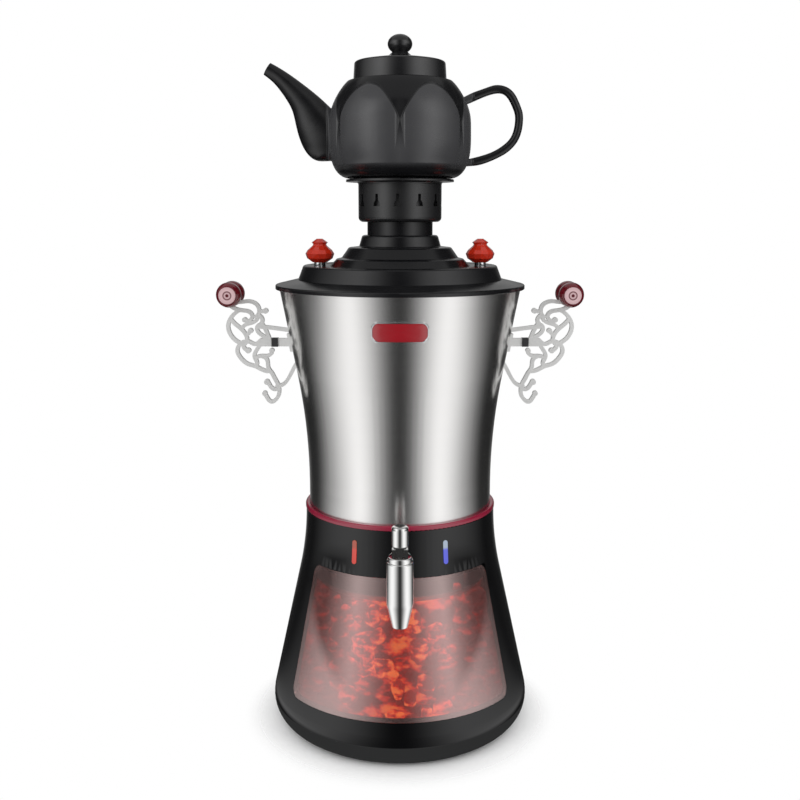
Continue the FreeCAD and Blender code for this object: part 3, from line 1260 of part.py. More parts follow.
def grip_bead(way):
    """Barrel bead on the bolt, in front of the scroll or behind it."""
    start = SCROLL_THICK / 2 * way
    end = start + GRIP_LENGTH * way
    x, z = ARM_R + GRIP_OUT, Z_ARM + GRIP_UP
    small = GRIP_CAP_R + 0.6
    middle = (start + end) / 2
    points = [V(x, start, z), V(x + small, start, z)]
    arc = Part.Arc(V(x + small, start, z), V(x + GRIP_R, middle, z), V(x + small, end, z))
    wire = Part.Wire([
        Part.LineSegment(points[0], points[1]).toShape(), arc.toShape(),
        Part.LineSegment(V(x + small, end, z), V(x, end, z)).toShape(),
        Part.LineSegment(V(x, end, z), points[0]).toShape()])
    bead = Part.Face(wire).revolve(V(x, 0, z), V(0, 1, 0), 360)
    return bead.cut(along_y(GRIP_BOLT_R + FIT, -40, 40, z, x))


def grip_bolt():
    """Bolt through both beads, with a domed chrome cap at each end."""
    x, z = ARM_R + GRIP_OUT, Z_ARM + GRIP_UP
    end = SCROLL_THICK / 2 + GRIP_LENGTH
    rod = along_y(GRIP_BOLT_R, -end, end, z, x)
    caps = [along_y(GRIP_CAP_R, end, end + GRIP_CAP_THICK, z, x),
            along_y(GRIP_CAP_R, -end - GRIP_CAP_THICK, -end, z, x)]
    return joined([rod] + caps)


def insulator():
    """Black sleeve block between the bracket's stub and the scroll's arm."""
    start = ARM_R + BRACKET_REACH
    return Part.makeBox(INSULATOR_LENGTH, SCROLL_THICK + 2, INSULATOR_TALL, V(
        start, -SCROLL_THICK / 2 - 1, Z_ARM - INSULATOR_TALL / 2))


def handle_parts():
    """Both side handles; the left one mirrors the right."""
    scroll = handle_scroll()
    pieces = {
        "scroll": scroll, "bracket": handle_bracket(), "grips": Part.Compound([grip_bead(-1), grip_bead(1)]),
        "bolt": grip_bolt(), "insulator": insulator()}
    for name, shape in pieces.items():
        keep(f"handle_{name}_right", shape)
        keep(f"handle_{name}_left", mirrored(shape))


def build():
    """Make every node in order from the table up."""
    keep("base_plate", base_plate())
    keep("base_feet", base_feet())
    keep("base_ring", base_ring())
    keep("lower_shell", lower_shell())
    keep("window_panel", window_sector(0, WINDOW_THICK, PLAY))
    keep("lens_heating", indicator(-LENS_ANGLE))
    keep("lens_keep_warm", indicator(LENS_ANGLE))
    keep("indicator_boards", indicator_boards())
    keep("waist_ring", waist_ring())
    keep("steel_shell", flared_shell(0, STEEL_WALL, Z_STEEL))
    keep("inner_tank", tank())
    keep("tank_gasket", tank_gasket())
    heating_parts()
    heat_shield_parts()
    ember_parts()
    rear_parts()
    tap_parts()
    keep("top_rim", top_rim())
    lid_parts()
    keep("crown", crown())
    keep("teapot_body", teapot_body())
    keep("teapot_lid", teapot_lid())
    handle_parts()


def save():
    os.makedirs("parts", exist_ok=True)
    for name, shape in NODES.items():
        solids = shape.Solids
        print(f"{name:24s} solids {len(solids)} valid {shape.isValid()} volume {shape.Volume:10.1f}")
        shape.exportStep(f"parts/{name}.step")


build()
save()
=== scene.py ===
"""Looks of the electric samovar: its finishes, the small pieces that sit on its solids, and a plain
white studio. Metres, +Z up, the tap towards -Y."""

import math

import bpy
import numpy as np
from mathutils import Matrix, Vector


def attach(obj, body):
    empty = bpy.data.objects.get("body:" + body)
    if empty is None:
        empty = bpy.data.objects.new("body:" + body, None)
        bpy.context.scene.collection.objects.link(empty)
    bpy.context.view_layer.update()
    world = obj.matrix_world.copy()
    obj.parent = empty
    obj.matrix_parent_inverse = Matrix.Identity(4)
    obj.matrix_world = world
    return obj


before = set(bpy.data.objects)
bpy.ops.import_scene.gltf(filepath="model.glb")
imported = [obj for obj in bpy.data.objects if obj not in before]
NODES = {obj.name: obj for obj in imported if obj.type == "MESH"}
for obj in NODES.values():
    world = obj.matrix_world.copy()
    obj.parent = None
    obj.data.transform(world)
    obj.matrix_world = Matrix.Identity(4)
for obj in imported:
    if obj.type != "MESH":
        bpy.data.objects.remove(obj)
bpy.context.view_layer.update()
RNG = np.random.default_rng(7)


# Shader groups

def new_group(name, inputs, outputs):
    """Empty shader group with named sockets; returns its tree, input node and output node."""
    tree = bpy.data.node_groups.new(name, "ShaderNodeTree")
    for label, kind, value in inputs:
        socket = tree.interface.new_socket(label, in_out="INPUT", socket_type=kind)
        if value is not None:
            socket.default_value = value
    for label, kind in outputs:
        tree.interface.new_socket(label, in_out="OUTPUT", socket_type=kind)
    return tree, tree.nodes.new("NodeGroupInput"), tree.nodes.new("NodeGroupOutput")


def math_node(tree, operation, a, b=None, c=None, clamp=False):
    """Math node whose inputs are links or numbers; returns its output."""
    node = tree.nodes.new("ShaderNodeMath")
    node.operation = operation
    node.use_clamp = clamp
    for i, value in enumerate((a, b, c)):
        if value is None:
            continue
        if isinstance(value, (int, float)):
            node.inputs[i].default_value = value
        else:
            tree.links.new(value, node.inputs[i])
    return node.outputs[0]


def between(tree, value, low, high):
    """Map 0..1 to a range given by two sockets."""
    node = tree.nodes.new("ShaderNodeMapRange")
    tree.links.new(value, node.inputs["Value"])
    for socket, bound in (("To Min", low), ("To Max", high)):
        tree.links.new(bound, node.inputs[socket])
    return node.outputs["Result"]


def noise_node(tree, vector, scale, detail, rough=0.55):
    """Noise whose scale is a link or a number."""
    node = tree.nodes.new("ShaderNodeTexNoise")
    tree.links.new(vector, node.inputs["Vector"])
    if isinstance(scale, (int, float)):
        node.inputs["Scale"].default_value = scale
    else:
        tree.links.new(scale, node.inputs["Scale"])
    node.inputs["Detail"].default_value = detail
    node.inputs["Roughness"].default_value = rough
    return node.outputs["Fac"]


def span(tree, value, low, high, start=0.0, end=1.0):
    """Smooth step from start to end as a value crosses from low to high."""
    node = tree.nodes.new("ShaderNodeMapRange")
    node.interpolation_type = "SMOOTHSTEP"
    for socket, number in (("From Min", low), ("From Max", high), ("To Min", start), ("To Max", end)):
        node.inputs[socket].default_value = number
    tree.links.new(value, node.inputs["Value"])
    return node.outputs["Result"]


def part_of(tree, vector, axis):
    node = tree.nodes.new("ShaderNodeSeparateXYZ")
    tree.links.new(vector, node.inputs[0])
    return node.outputs[axis]


def colour_ramp(tree, value, stops):
    """Colour by value, from (place, colour) stops."""
    node = tree.nodes.new("ShaderNodeValToRGB")
    elements = node.color_ramp.elements
    while len(elements) < len(stops):
        elements.new(0.5)
    for element, (place, colour) in zip(elements, stops):
        element.position = place
    for element, (place, colour) in zip(elements, stops):
        element.color = (*colour, 1)
    tree.links.new(value, node.inputs["Fac"])
    return node.outputs["Color"]


def mixed_colour(tree, mask, dark, pale):
    """Colour between two by a mask."""
    node = tree.nodes.new("ShaderNodeMix")
    node.data_type = "RGBA"
    tree.links.new(mask, node.inputs["Factor"])
    node.inputs["A"].default_value = (*dark, 1)
    node.inputs["B"].default_value = (*pale, 1)
    return node.outputs["Result"]


def stretched(tree, vector, scale):
    node = tree.nodes.new("ShaderNodeMapping")
    node.inputs["Scale"].default_value = scale
    tree.links.new(vector, node.inputs["Vector"])
    return node.outputs["Vector"]


def handled_group():
    """Wipe marks and fine texture of a handled surface: a gloss value and a height."""
    tree, start, end = new_group("handled_surface", [
        ("Vector", "NodeSocketVector", None), ("Gloss low", "NodeSocketFloat", 0.1),
        ("Gloss high", "NodeSocketFloat", 0.2), ("Grain", "NodeSocketFloat", 900.0)],
        [("Roughness", "NodeSocketFloat"), ("Height", "NodeSocketFloat")])
    cloudy = noise_node(tree, start.outputs["Vector"], 38.0, 4.0)
    wiped = noise_node(tree, stretched(tree, start.outputs["Vector"], (30, 30, 110)), 1.0, 3.0)
    fine = noise_node(tree, start.outputs["Vector"], start.outputs["Grain"], 2.0)
    soil = math_node(tree, "MULTIPLY_ADD", wiped, 0.45, math_node(tree, "MULTIPLY", cloudy, 0.55))
    sharp = tree.nodes.new("ShaderNodeMapRange")
    sharp.inputs["From Min"].default_value = 0.35
    sharp.inputs["From Max"].default_value = 0.68
    tree.links.new(soil, sharp.inputs["Value"])
    gloss = between(tree, sharp.outputs["Result"], start.outputs["Gloss low"], start.outputs["Gloss high"])
    tree.links.new(gloss, end.inputs["Roughness"])
    tree.links.new(fine, end.inputs["Height"])
    return tree


def brushed_group():
    """Brush lines that run round the Z axis: thin in height, long round the body."""
    tree, start, end = new_group("brushed_round", [
        ("Vector", "NodeSocketVector", None), ("Gloss low", "NodeSocketFloat", 0.2),
        ("Gloss high", "NodeSocketFloat", 0.3), ("Shade low", "NodeSocketFloat", 0.9),
        ("Shade high", "NodeSocketFloat", 1.0)],
        [("Roughness", "NodeSocketFloat"), ("Height", "NodeSocketFloat"), ("Shade", "NodeSocketFloat")])
    fine = noise_node(tree, stretched(tree, start.outputs["Vector"], (9, 9, 2600)), 1.0, 2.0)
    broad = noise_node(tree, stretched(tree, start.outputs["Vector"], (5, 5, 420)), 1.0, 3.0)
    lines = math_node(tree, "MULTIPLY_ADD", fine, 0.6, math_node(tree, "MULTIPLY", broad, 0.4))
    tree.links.new(between(tree, lines, start.outputs["Gloss low"], start.outputs["Gloss high"]),
                   end.inputs["Roughness"])
    tree.links.new(between(tree, lines, start.outputs["Shade low"], start.outputs["Shade high"]),
                   end.inputs["Shade"])
    tree.links.new(lines, end.inputs["Height"])
    return tree


def ember_group():
    """Painted glow of the coal bed, which is no lamp: emission in long patches that come and go, with a
    painted pool of light brightest in the middle of the bed.
    """
    tree, start, end = new_group("ember_glow", [
        ("Vector", "NodeSocketVector", None), ("Size", "NodeSocketFloat", 60.0),
        ("Heat", "NodeSocketFloat", 1.0)],
        [("Glow", "NodeSocketColor"), ("Char", "NodeSocketColor"), ("Height", "NodeSocketFloat")])
    place = stretched(tree, start.outputs["Vector"], (1.0, 1.0, 1.9))
    patches = noise_node(tree, place, start.outputs["Size"], 5.0, 0.62)
    painted_glow_patches = span(tree, patches, 0.47, 0.66)
    # painted pool of light: the glow is brightest in the middle of the bed across X and falls off towards
    # the sides
    across = math_node(tree, "DIVIDE", part_of(tree, start.outputs["Vector"], "X"), 0.040)
    middle = math_node(tree, "POWER", 0.37, math_node(tree, "MULTIPLY", across, across))
    middle = math_node(tree, "MULTIPLY_ADD", middle, 0.78, 0.22)
    painted_glow_level = math_node(tree, "MULTIPLY", math_node(tree, "MULTIPLY_ADD", painted_glow_patches, 0.72, 0.28), middle)
    painted_glow_level = math_node(tree, "MULTIPLY", painted_glow_level, start.outputs["Heat"], clamp=True)
    glow = colour_ramp(tree, painted_glow_level, ((0.0, (0.010, 0.001, 0.001)), (0.25, (0.16, 0.008, 0.005)),
                                    (0.62, (0.75, 0.030, 0.010)), (1.0, (1.0, 0.24, 0.06))))
    char = colour_ramp(tree, patches, ((0.3, (0.020, 0.006, 0.005)), (0.7, (0.13, 0.035, 0.03))))
    tree.links.new(glow, end.inputs["Glow"])
    tree.links.new(char, end.inputs["Char"])
    tree.links.new(patches, end.inputs["Height"])
    return tree


def petal_group():
    """Six petals of the teapot: arched tops with cusps at the seams. Petal is 1 on a petal and 0 in
    the hollows and in the seams below the cusps."""
    tree, start, end = new_group("teapot_petals", [
        ("Vector", "NodeSocketVector", None), ("Arch", "NodeSocketFloat", 0.554),
        ("Drop", "NodeSocketFloat", 0.030)],
        [("Petal", "NodeSocketFloat")])
    x, y, z = (part_of(tree, start.outputs["Vector"], axis) for axis in "XYZ")
    turn = math_node(tree, "ARCTAN2", x, math_node(tree, "MULTIPLY", y, -1.0))
    seam = math_node(tree, "PINGPONG", turn, math.radians(30))
    off = math_node(tree, "SUBTRACT", 1.0, math_node(tree, "DIVIDE", seam, math.radians(30)))
    fall = math_node(tree, "MULTIPLY", math_node(tree, "POWER", off, 2.3), start.outputs["Drop"])
    arch = math_node(tree, "SUBTRACT", start.outputs["Arch"], fall)
    above = math_node(tree, "SUBTRACT", z, arch)
    below = span(tree, above, -0.0022, 0.0012, 1.0, 0.0)
    groove = span(tree, seam, 0.0, 0.075)
    faded = span(tree, z, 0.500, 0.526, 1.0, 0.0)
    valley = math_node(tree, "MAXIMUM", groove, faded)
    flat = math_node(tree, "SQRT", math_node(tree, "ADD", math_node(tree, "MULTIPLY", x, x),
                                             math_node(tree, "MULTIPLY", y, y)))
    near = span(tree, flat, 0.0600, 0.0625, 1.0, 0.0)
    foot = span(tree, z, 0.486, 0.492)
    body = math_node(tree, "MULTIPLY", near, foot)
    petal = math_node(tree, "MULTIPLY", math_node(tree, "MULTIPLY", below, valley), body)
    tree.links.new(petal, end.inputs["Petal"])
    return tree


def cap_group():
    """Rings on the ends of the grips: 0 at the bolt's middle and in a groove, 1 on the pale bands."""
    tree, start, end = new_group("grip_cap_rings", [
        ("Vector", "NodeSocketVector", None), ("Out", "NodeSocketFloat", 0.1467),
        ("Up", "NodeSocketFloat", 0.383)],
        [("Pale", "NodeSocketFloat")])
    x, z = (part_of(tree, start.outputs["Vector"], axis) for axis in "XZ")
    out = math_node(tree, "SUBTRACT", math_node(tree, "ABSOLUTE", x), start.outputs["Out"])
    up = math_node(tree, "SUBTRACT", z, start.outputs["Up"])
    radius = math_node(tree, "SQRT", math_node(tree, "ADD", math_node(tree, "MULTIPLY", out, out),
                                               math_node(tree, "MULTIPLY", up, up)))
    shade = colour_ramp(tree, math_node(tree, "DIVIDE", radius, 0.0072), (
        (0.0, (0.0, 0.0, 0.0)), (0.17, (0.0, 0.0, 0.0)), (0.22, (0.8, 0.8, 0.8)),
        (0.36, (0.7, 0.7, 0.7)), (0.42, (0.12, 0.12, 0.12)), (0.50, (0.12, 0.12, 0.12)),
        (0.57, (0.9, 0.9, 0.9)), (1.0, (0.75, 0.75, 0.75))))
    tree.links.new(shade, end.inputs["Pale"])
    return tree


HANDLED = handled_group()
BRUSHED = brushed_group()
EMBERS = ember_group()
PETALS = petal_group()
CAP_RINGS = cap_group()


# Materials

def start_material(name):
    """Material with its Principled shader and Object coordinates."""
    material = bpy.data.materials.new(name)
    material.use_nodes = True
    tree = material.node_tree
    shader = tree.nodes["Principled BSDF"]
    place = tree.nodes.new("ShaderNodeTexCoord").outputs["Object"]
    return material, tree, shader, place


def add_bump(tree, shader, height, distance, strength=1.0):
    """Relief of a height, as deep as the distance where the height is 1."""
    bump = tree.nodes.new("ShaderNodeBump")
    bump.inputs["Distance"].default_value = distance
    bump.inputs["Strength"].default_value = strength
    tree.links.new(height, bump.inputs["Height"])
    tree.links.new(bump.outputs["Normal"], shader.inputs["Normal"])


def finish(name, colour, gloss, metal=0.0, grain=900.0, bump=0.00001, coat=0.0,
           clear=0.0, ior=1.5, soft=0.0):
    """Plain finish with wipe marks in its gloss and a fine grain."""
    material, tree, shader, place = start_material(name)
    shader.inputs["Base Color"].default_value = (*colour, 1)
    shader.inputs["Metallic"].default_value = metal
    shader.inputs["IOR"].default_value = ior
    shader.inputs["Coat Weight"].default_value = coat
    shader.inputs["Coat Roughness"].default_value = 0.04
    shader.inputs["Transmission Weight"].default_value = clear
    if soft:
        shader.inputs["Subsurface Weight"].default_value = soft
        shader.inputs["Subsurface Radius"].default_value = (0.004, 0.001, 0.001)
    marks = tree.nodes.new("ShaderNodeGroup")
    marks.node_tree = HANDLED
    tree.links.new(place, marks.inputs["Vector"])
    marks.inputs["Gloss low"].default_value = gloss[0]
    marks.inputs["Gloss high"].default_value = gloss[1]
    marks.inputs["Grain"].default_value = grain
    tree.links.new(marks.outputs["Roughness"], shader.inputs["Roughness"])
    if bump:
        add_bump(tree, shader, marks.outputs["Height"], bump)
    return material


def brushed_metal(name, colour, gloss, bump=0.000004, aniso=0.0, shade=(0.9, 1.0)):
    """Metal brushed round the Z axis."""
    material, tree, shader, place = start_material(name)
    shader.inputs["Metallic"].default_value = 1.0
    lines = tree.nodes.new("ShaderNodeGroup")
    lines.node_tree = BRUSHED
    tree.links.new(place, lines.inputs["Vector"])
    lines.inputs["Gloss low"].default_value = gloss[0]
    lines.inputs["Gloss high"].default_value = gloss[1]
    lines.inputs["Shade low"].default_value = shade[0]
    lines.inputs["Shade high"].default_value = shade[1]
    tint = tree.nodes.new("ShaderNodeMix")
    tint.data_type = "RGBA"
    tint.blend_type = "MULTIPLY"
    tint.inputs["Factor"].default_value = 1.0
    tint.inputs["A"].default_value = (*colour, 1)
    tree.links.new(lines.outputs["Shade"], tint.inputs["B"])
    tree.links.new(tint.outputs["Result"], shader.inputs["Base Color"])
    tree.links.new(lines.outputs["Roughness"], shader.inputs["Roughness"])
    if aniso:
        shader.inputs["Anisotropic"].default_value = aniso
        shader.inputs["Anisotropic Rotation"].default_value = 0.25
        tangent = tree.nodes.new("ShaderNodeTangent")
        tangent.direction_type = "RADIAL"
        tangent.axis = "Z"
        tree.links.new(tangent.outputs["Tangent"], shader.inputs["Tangent"])
    add_bump(tree, shader, lines.outputs["Height"], bump)
    return material


def live_coal(name, size, painted_glow_level, strength, gloss):
    """Charred surface with a painted glow in patches."""
    material, tree, shader, place = start_material(name)
    glow = tree.nodes.new("ShaderNodeGroup")
    glow.node_tree = EMBERS
    tree.links.new(place, glow.inputs["Vector"])
    glow.inputs["Size"].default_value = size
    glow.inputs["Heat"].default_value = painted_glow_level
    tree.links.new(glow.outputs["Char"], shader.inputs["Base Color"])
    # painted glow: emission on coals, which are no lamp
    tree.links.new(glow.outputs["Glow"], shader.inputs["Emission Color"])
    shader.inputs["Emission Strength"].default_value = strength
    shader.inputs["Roughness"].default_value = gloss
    add_bump(tree, shader, glow.outputs["Height"], 0.003, 0.8)
    return material


def lit_lens(name, colour, glow, top, strength, low=0.1770, high=0.1800):
    """Coloured lens lit from behind: its lamp's colour below and a paler glow at the top."""
    material = finish(name, colour, (0.06, 0.14), coat=1.0, bump=0)
    tree = material.node_tree
    shader = tree.nodes["Principled BSDF"]
    place = tree.nodes.new("ShaderNodeTexCoord").outputs["Object"]
    rise = span(tree, part_of(tree, place, "Z"), low, high)
    tree.links.new(mixed_colour(tree, rise, glow, top), shader.inputs["Emission Color"])
    shader.inputs["Emission Strength"].default_value = strength
    return material


def smoked_window():
    """Smoked panel with a part-mirrored skin: it shows the embers where nothing bright is reflected."""
    material = finish("smoked_mirror_plastic", (0.86, 0.66, 0.64), (0.05, 0.09), bump=0, clear=1.0,
                      ior=1.45)
    material.node_tree.nodes["Principled BSDF"].inputs["Metallic"].default_value = 0.36
    return material


def teapot_glaze():
    """Black glaze with painted sheen: the petals are painted greyer than the hollows and the seams below
    the cusps, and the petals' edges are in relief.
    """
    material, tree, shader, place = start_material("teapot_glaze")
    petals = tree.nodes.new("ShaderNodeGroup")
    petals.node_tree = PETALS
    tree.links.new(place, petals.inputs["Vector"])
    # painted sheen: grey base colour on the petals, the glaze's black in the hollows
    shade = mixed_colour(tree, petals.outputs["Petal"], (0.006, 0.006, 0.007), (0.052, 0.052, 0.055))
    tree.links.new(shade, shader.inputs["Base Color"])
    marks = tree.nodes.new("ShaderNodeGroup")
    marks.node_tree = HANDLED
    tree.links.new(place, marks.inputs["Vector"])
    marks.inputs["Gloss low"].default_value = 0.20
    marks.inputs["Gloss high"].default_value = 0.32
    tree.links.new(marks.outputs["Roughness"], shader.inputs["Roughness"])
    add_bump(tree, shader, petals.outputs["Petal"], 0.0022)
    return material


def grip_cap():
    """Pale enamelled end of a grip with a dark ring and a dark middle."""
    material, tree, shader, place = start_material("grip_cap_enamel")
    rings = tree.nodes.new("ShaderNodeGroup")
    rings.node_tree = CAP_RINGS
    tree.links.new(place, rings.inputs["Vector"])
    shade = mixed_colour(tree, rings.outputs["Pale"], (0.10, 0.006, 0.012), (0.86, 0.60, 0.62))
    tree.links.new(shade, shader.inputs["Base Color"])
    shader.inputs["Roughness"].default_value = 0.18
    shader.inputs["Coat Weight"].default_value = 0.8
    return material


def make_finishes():
    """Every finish of the samovar, by the name that its solids and pieces ask for."""
    return {
        "steel": brushed_metal("brushed_steel", (0.84, 0.83, 0.82), (0.20, 0.28), aniso=0.7,
                               bump=0.0000025, shade=(0.93, 1.0)),
        "tap": brushed_metal("polished_tap", (0.88, 0.88, 0.87), (0.07, 0.12), bump=0.000001,
                             shade=(0.97, 1.0)),
        "chrome": finish("chrome", (0.88, 0.89, 0.90), (0.03, 0.07), metal=1.0, bump=0),
        "casting": finish("pale_casting", (0.86, 0.86, 0.85), (0.28, 0.40), metal=0.30, grain=500,
                          bump=0.00003),
        "gloss": finish("gloss_black_plastic", (0.003, 0.003, 0.0035), (0.05, 0.09), bump=0),
        "satin": finish("satin_black_enamel", (0.006, 0.006, 0.007), (0.16, 0.26), grain=1600,
                        bump=0.000006),
        "crown": finish("crown_enamel", (0.012, 0.012, 0.013), (0.24, 0.34), grain=1600,
                        bump=0.00001, coat=0.3),
        "pot": teapot_glaze(),
        "cap": finish("black_glaze", (0.012, 0.012, 0.013), (0.16, 0.26), coat=0.5, grain=500,
                      bump=0.000006),
        "moulded": finish("moulded_black", (0.025, 0.025, 0.027), (0.45, 0.6), grain=1800,
                          bump=0.00004),
        "rubber": finish("foot_rubber", (0.03, 0.03, 0.03), (0.7, 0.85), grain=1400, bump=0.00005),
        "silicone": finish("silicone", (0.62, 0.60, 0.57), (0.4, 0.55), grain=900, bump=0.00002,
                           soft=0.2),
        "ring": finish("crimson_enamel", (0.30, 0.010, 0.040), (0.12, 0.2), coat=0.8, bump=0),
        "bead": finish("red_crystal", (0.80, 0.040, 0.014), (0.03, 0.07), coat=1.0, bump=0,
                       clear=0.30),
        "grip": finish("dark_red_crystal", (0.16, 0.006, 0.014), (0.04, 0.08), coat=1.0, bump=0,
                       clear=0.15),
        "grip_cap": grip_cap(),
        "window": smoked_window(),
        "lens_red": lit_lens("red_lens", (0.30, 0.02, 0.01), (0.62, 0.022, 0.008),
                             (0.20, 0.05, 0.012), 0.55),
        "lens_blue": lit_lens("blue_lens", (0.03, 0.04, 0.25), (0.06, 0.07, 0.55),
                              (0.38, 0.46, 0.38), 0.8),
        "board": finish("circuit_board", (0.02, 0.11, 0.05), (0.35, 0.5), grain=700, bump=0.00002),
        "lamp": lit_lens("lamp_resin", (0.9, 0.6, 0.35), (1.0, 0.25, 0.06), (1.0, 0.25, 0.06), 3.0),
        "tin": brushed_metal("spun_steel", (0.66, 0.66, 0.66), (0.25, 0.4)),
        "aluminium": finish("cast_aluminium", (0.62, 0.62, 0.63), (0.4, 0.55), metal=1.0,
                            grain=900, bump=0.00004),
        "brass": finish("turned_brass", (0.72, 0.52, 0.22), (0.2, 0.35), metal=1.0, bump=0.00001),
        "switch": finish("red_switch", (0.42, 0.012, 0.01), (0.15, 0.25), coat=0.3, bump=0),
        "plate": finish("red_plate_enamel", (0.36, 0.010, 0.018), (0.12, 0.2), coat=0.8, bump=0),
        # painted glow on the ember cone and on the coals
        "ember": live_coal("ember_cone_glow", 48.0, 1.0, 1.5, 0.30),
        "coal": live_coal("live_coal", 70.0, 1.25, 1.7, 0.55),
    }


FINISH = make_finishes()

NODE_FINISH = {
    "base_plate": "moulded", "base_feet": "rubber", "base_ring": "chrome", "lower_shell": "gloss",
    "window_panel": "window", "lens_heating": "lens_red", "lens_keep_warm": "lens_blue",
    "indicator_boards": "board", "ember_tray": "tin", "ember_bed": "ember", "led_board": "board",
    "led_lamps": "lamp", "power_inlet": "moulded", "inlet_pins": "brass", "switch_frame": "moulded",
    "power_rocker": "switch", "waist_ring": "ring", "steel_shell": "steel", "inner_tank": "tin",
    "tank_gasket": "silicone", "top_rim": "satin", "heater_plate": "aluminium", "heating_element": "tin",
    "thermostat": "tin", "thermal_cutout": "moulded", "heat_shield": "aluminium",
    "shield_standoffs": "tin", "tap_body": "tap", "tap_washers": "silicone", "tap_nut": "brass",
    "tap_bonnet": "tap", "tap_pin": "tin", "tap_spring": "tin", "tap_lever": "tap", "tap_stem": "tin",
    "valve_cup": "silicone", "lid_dome": "satin", "lid_seal": "silicone", "lid_knob_left": "bead",
    "lid_knob_right": "bead", "knob_fittings": "chrome", "crown": "crown", "teapot_body": "pot",
    "teapot_lid": "cap",
}
for side in ("left", "right"):
    NODE_FINISH.update({
        f"handle_scroll_{side}": "casting", f"handle_bracket_{side}": "casting",
        f"handle_grips_{side}": "grip", f"handle_bolt_{side}": "grip_cap",
        f"handle_insulator_{side}": "moulded"})


def dress_nodes():
    """Give every solid its finish."""
    for name, node in NODES.items():
        material = FINISH[NODE_FINISH[name]]
        if not node.material_slots:
            node.data.materials.append(material)
        for slot in node.material_slots:
            slot.material = material


# Sizes of the pieces made here, in metres and degrees

SHARP_ANGLE = 30

# The steel shell that the plate lies on: where its flare starts, its bend and its cone's lean
STEEL_FOOT_Z, STEEL_FOOT_R = 0.218, 0.0804
STEEL_BEND_R, STEEL_LEAN = 0.520, 10.8

# The plate: its middle's height, its corners, and rings of width, height and lift off the steel
PLATE_Z = 0.3605
PLATE_CORNER_R, PLATE_CORNER_SHARE = 0.0052, 0.36
PLATE_POINTS = 128
RIM_RINGS = (
    (0.0455, 0.0165, 0.00002), (0.0455, 0.0165, 0.0011), (0.0449, 0.0159, 0.0016),
    (0.0437, 0.0147, 0.0016), (0.0431, 0.0141, 0.0012), (0.0431, 0.0141, 0.0006))
FIELD_RINGS = (
    (0.0433, 0.0143, 0.0004), (0.0433, 0.0143, 0.0010), (0.0426, 0.0136, 0.0012),
    (0.030, 0.0085, 0.0013), (0.0150, 0.0030, 0.0013), (0.0002, 0.0001, 0.0013))

# The coals: their number and size, and the glowing cone that they lie on
COAL_COUNT = 230
COAL_ROWS, COAL_COLUMNS = 8, 12
COAL_SMALLEST, COAL_SPREAD = 0.0050, 0.0042
COAL_PHASES = 6.28
CONE_FOOT_Z, CONE_HEIGHT, COAL_REACH = 0.026, 0.098, 0.093
CONE_FOOT_R, CONE_TOP_R = 0.092, 0.064

# The sleeve inside the crown
SLEEVE_OUTER_R, SLEEVE_INNER_R = 0.0318, 0.0312
SLEEVE_LOW_Z, SLEEVE_HIGH_Z = 0.4492, 0.4752


# Surfaces

def grid_mesh(name, points, closed=False):
    """Mesh object from an array of points (rows, columns, 3), joined into quads by whole-array
    indices. A closed grid joins its last column to its first."""
    rows, columns = points.shape[:2]
    index = np.arange(rows * columns).reshape(rows, columns)
    if closed:
        index = np.hstack([index, index[:, :1]])
    corners = (index[:-1, :-1], index[:-1, 1:], index[1:, 1:], index[1:, :-1])
    quads = np.stack(corners, axis=-1).reshape(-1, 4)
    mesh = bpy.data.meshes.new(name)
    mesh.from_pydata(points.reshape(-1, 3).tolist(), [], quads.tolist())
    mesh.update()
    piece = bpy.data.objects.new(name, mesh)
    bpy.context.scene.collection.objects.link(piece)
    return piece


def smooth(piece):
    """Smooth shading, kept sharp where faces meet at more than SHARP_ANGLE."""
    piece.data.polygons.foreach_set("use_smooth", np.ones(len(piece.data.polygons), dtype=bool))
    piece.data.set_sharp_from_angle(angle=math.radians(SHARP_ANGLE))


def put_on(piece, body, finish_name):
    """Finish and body of a new piece."""
    piece.data.materials.append(FINISH[finish_name])
    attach(piece, body)


def steel_radius(z):
    """Radius of the steel shell at a height, as in its profile: a bend from the waist, then its cone."""
    rise = np.maximum(z - STEEL_FOOT_Z, 0.0)
    lean = math.radians(STEEL_LEAN)
    knee = STEEL_BEND_R * math.sin(lean)
    curved = STEEL_FOOT_R + STEEL_BEND_R - np.sqrt(STEEL_BEND_R ** 2 - np.minimum(rise, knee) ** 2)
    return np.where(rise < knee, curved, curved + (rise - knee) * math.tan(lean))


def rounded_outline(width, height, radius):
    """Evenly spaced points round a rectangle with rounded corners: quarter arcs joined by straight
    sides, as x and y."""
    turn = np.radians(np.arange(0, 360, 5.0) + 2.5)
    corner_x = (width / 2 - radius) * np.sign(np.cos(turn)) + radius * np.cos(turn)
    corner_y = (height / 2 - radius) * np.sign(np.sin(turn)) + radius * np.sin(turn)
    x = np.append(corner_x, corner_x[0])
    y = np.append(corner_y, corner_y[0])
    along = np.append(0, np.cumsum(np.hypot(np.diff(x), np.diff(y))))
    steps = np.linspace(0, along[-1], PLATE_POINTS, endpoint=False)
    return np.interp(steps, along, x), np.interp(steps, along, y)


def wrapped(x, z, lift):
    """Points (x along the wall, height) laid on the steel and lifted off it."""
    radius = steel_radius(z) + lift
    turn = x / radius
    return np.stack([radius * np.sin(turn), -radius * np.cos(turn), z + 0 * x], axis=-1)


def make_name_plate():
    """The plate's bright rim and its red field: rounded rectangles, each laid on the steel at its
    ring's lift and joined to the next."""
    for name, outlines, finish_name, slot in (
            ("plate_rim", RIM_RINGS, "chrome", "chrome"),
            ("plate_field", FIELD_RINGS, "plate", "red_plastic")):
        rings = []
        for width, tall, lift in outlines:
            x, z = rounded_outline(width, tall, min(PLATE_CORNER_R, tall * PLATE_CORNER_SHARE))
            rings.append(wrapped(x, PLATE_Z + z, lift))
        piece = grid_mesh(name, np.array(rings), closed=True)
        smooth(piece)
        put_on(piece, "urn", finish_name)


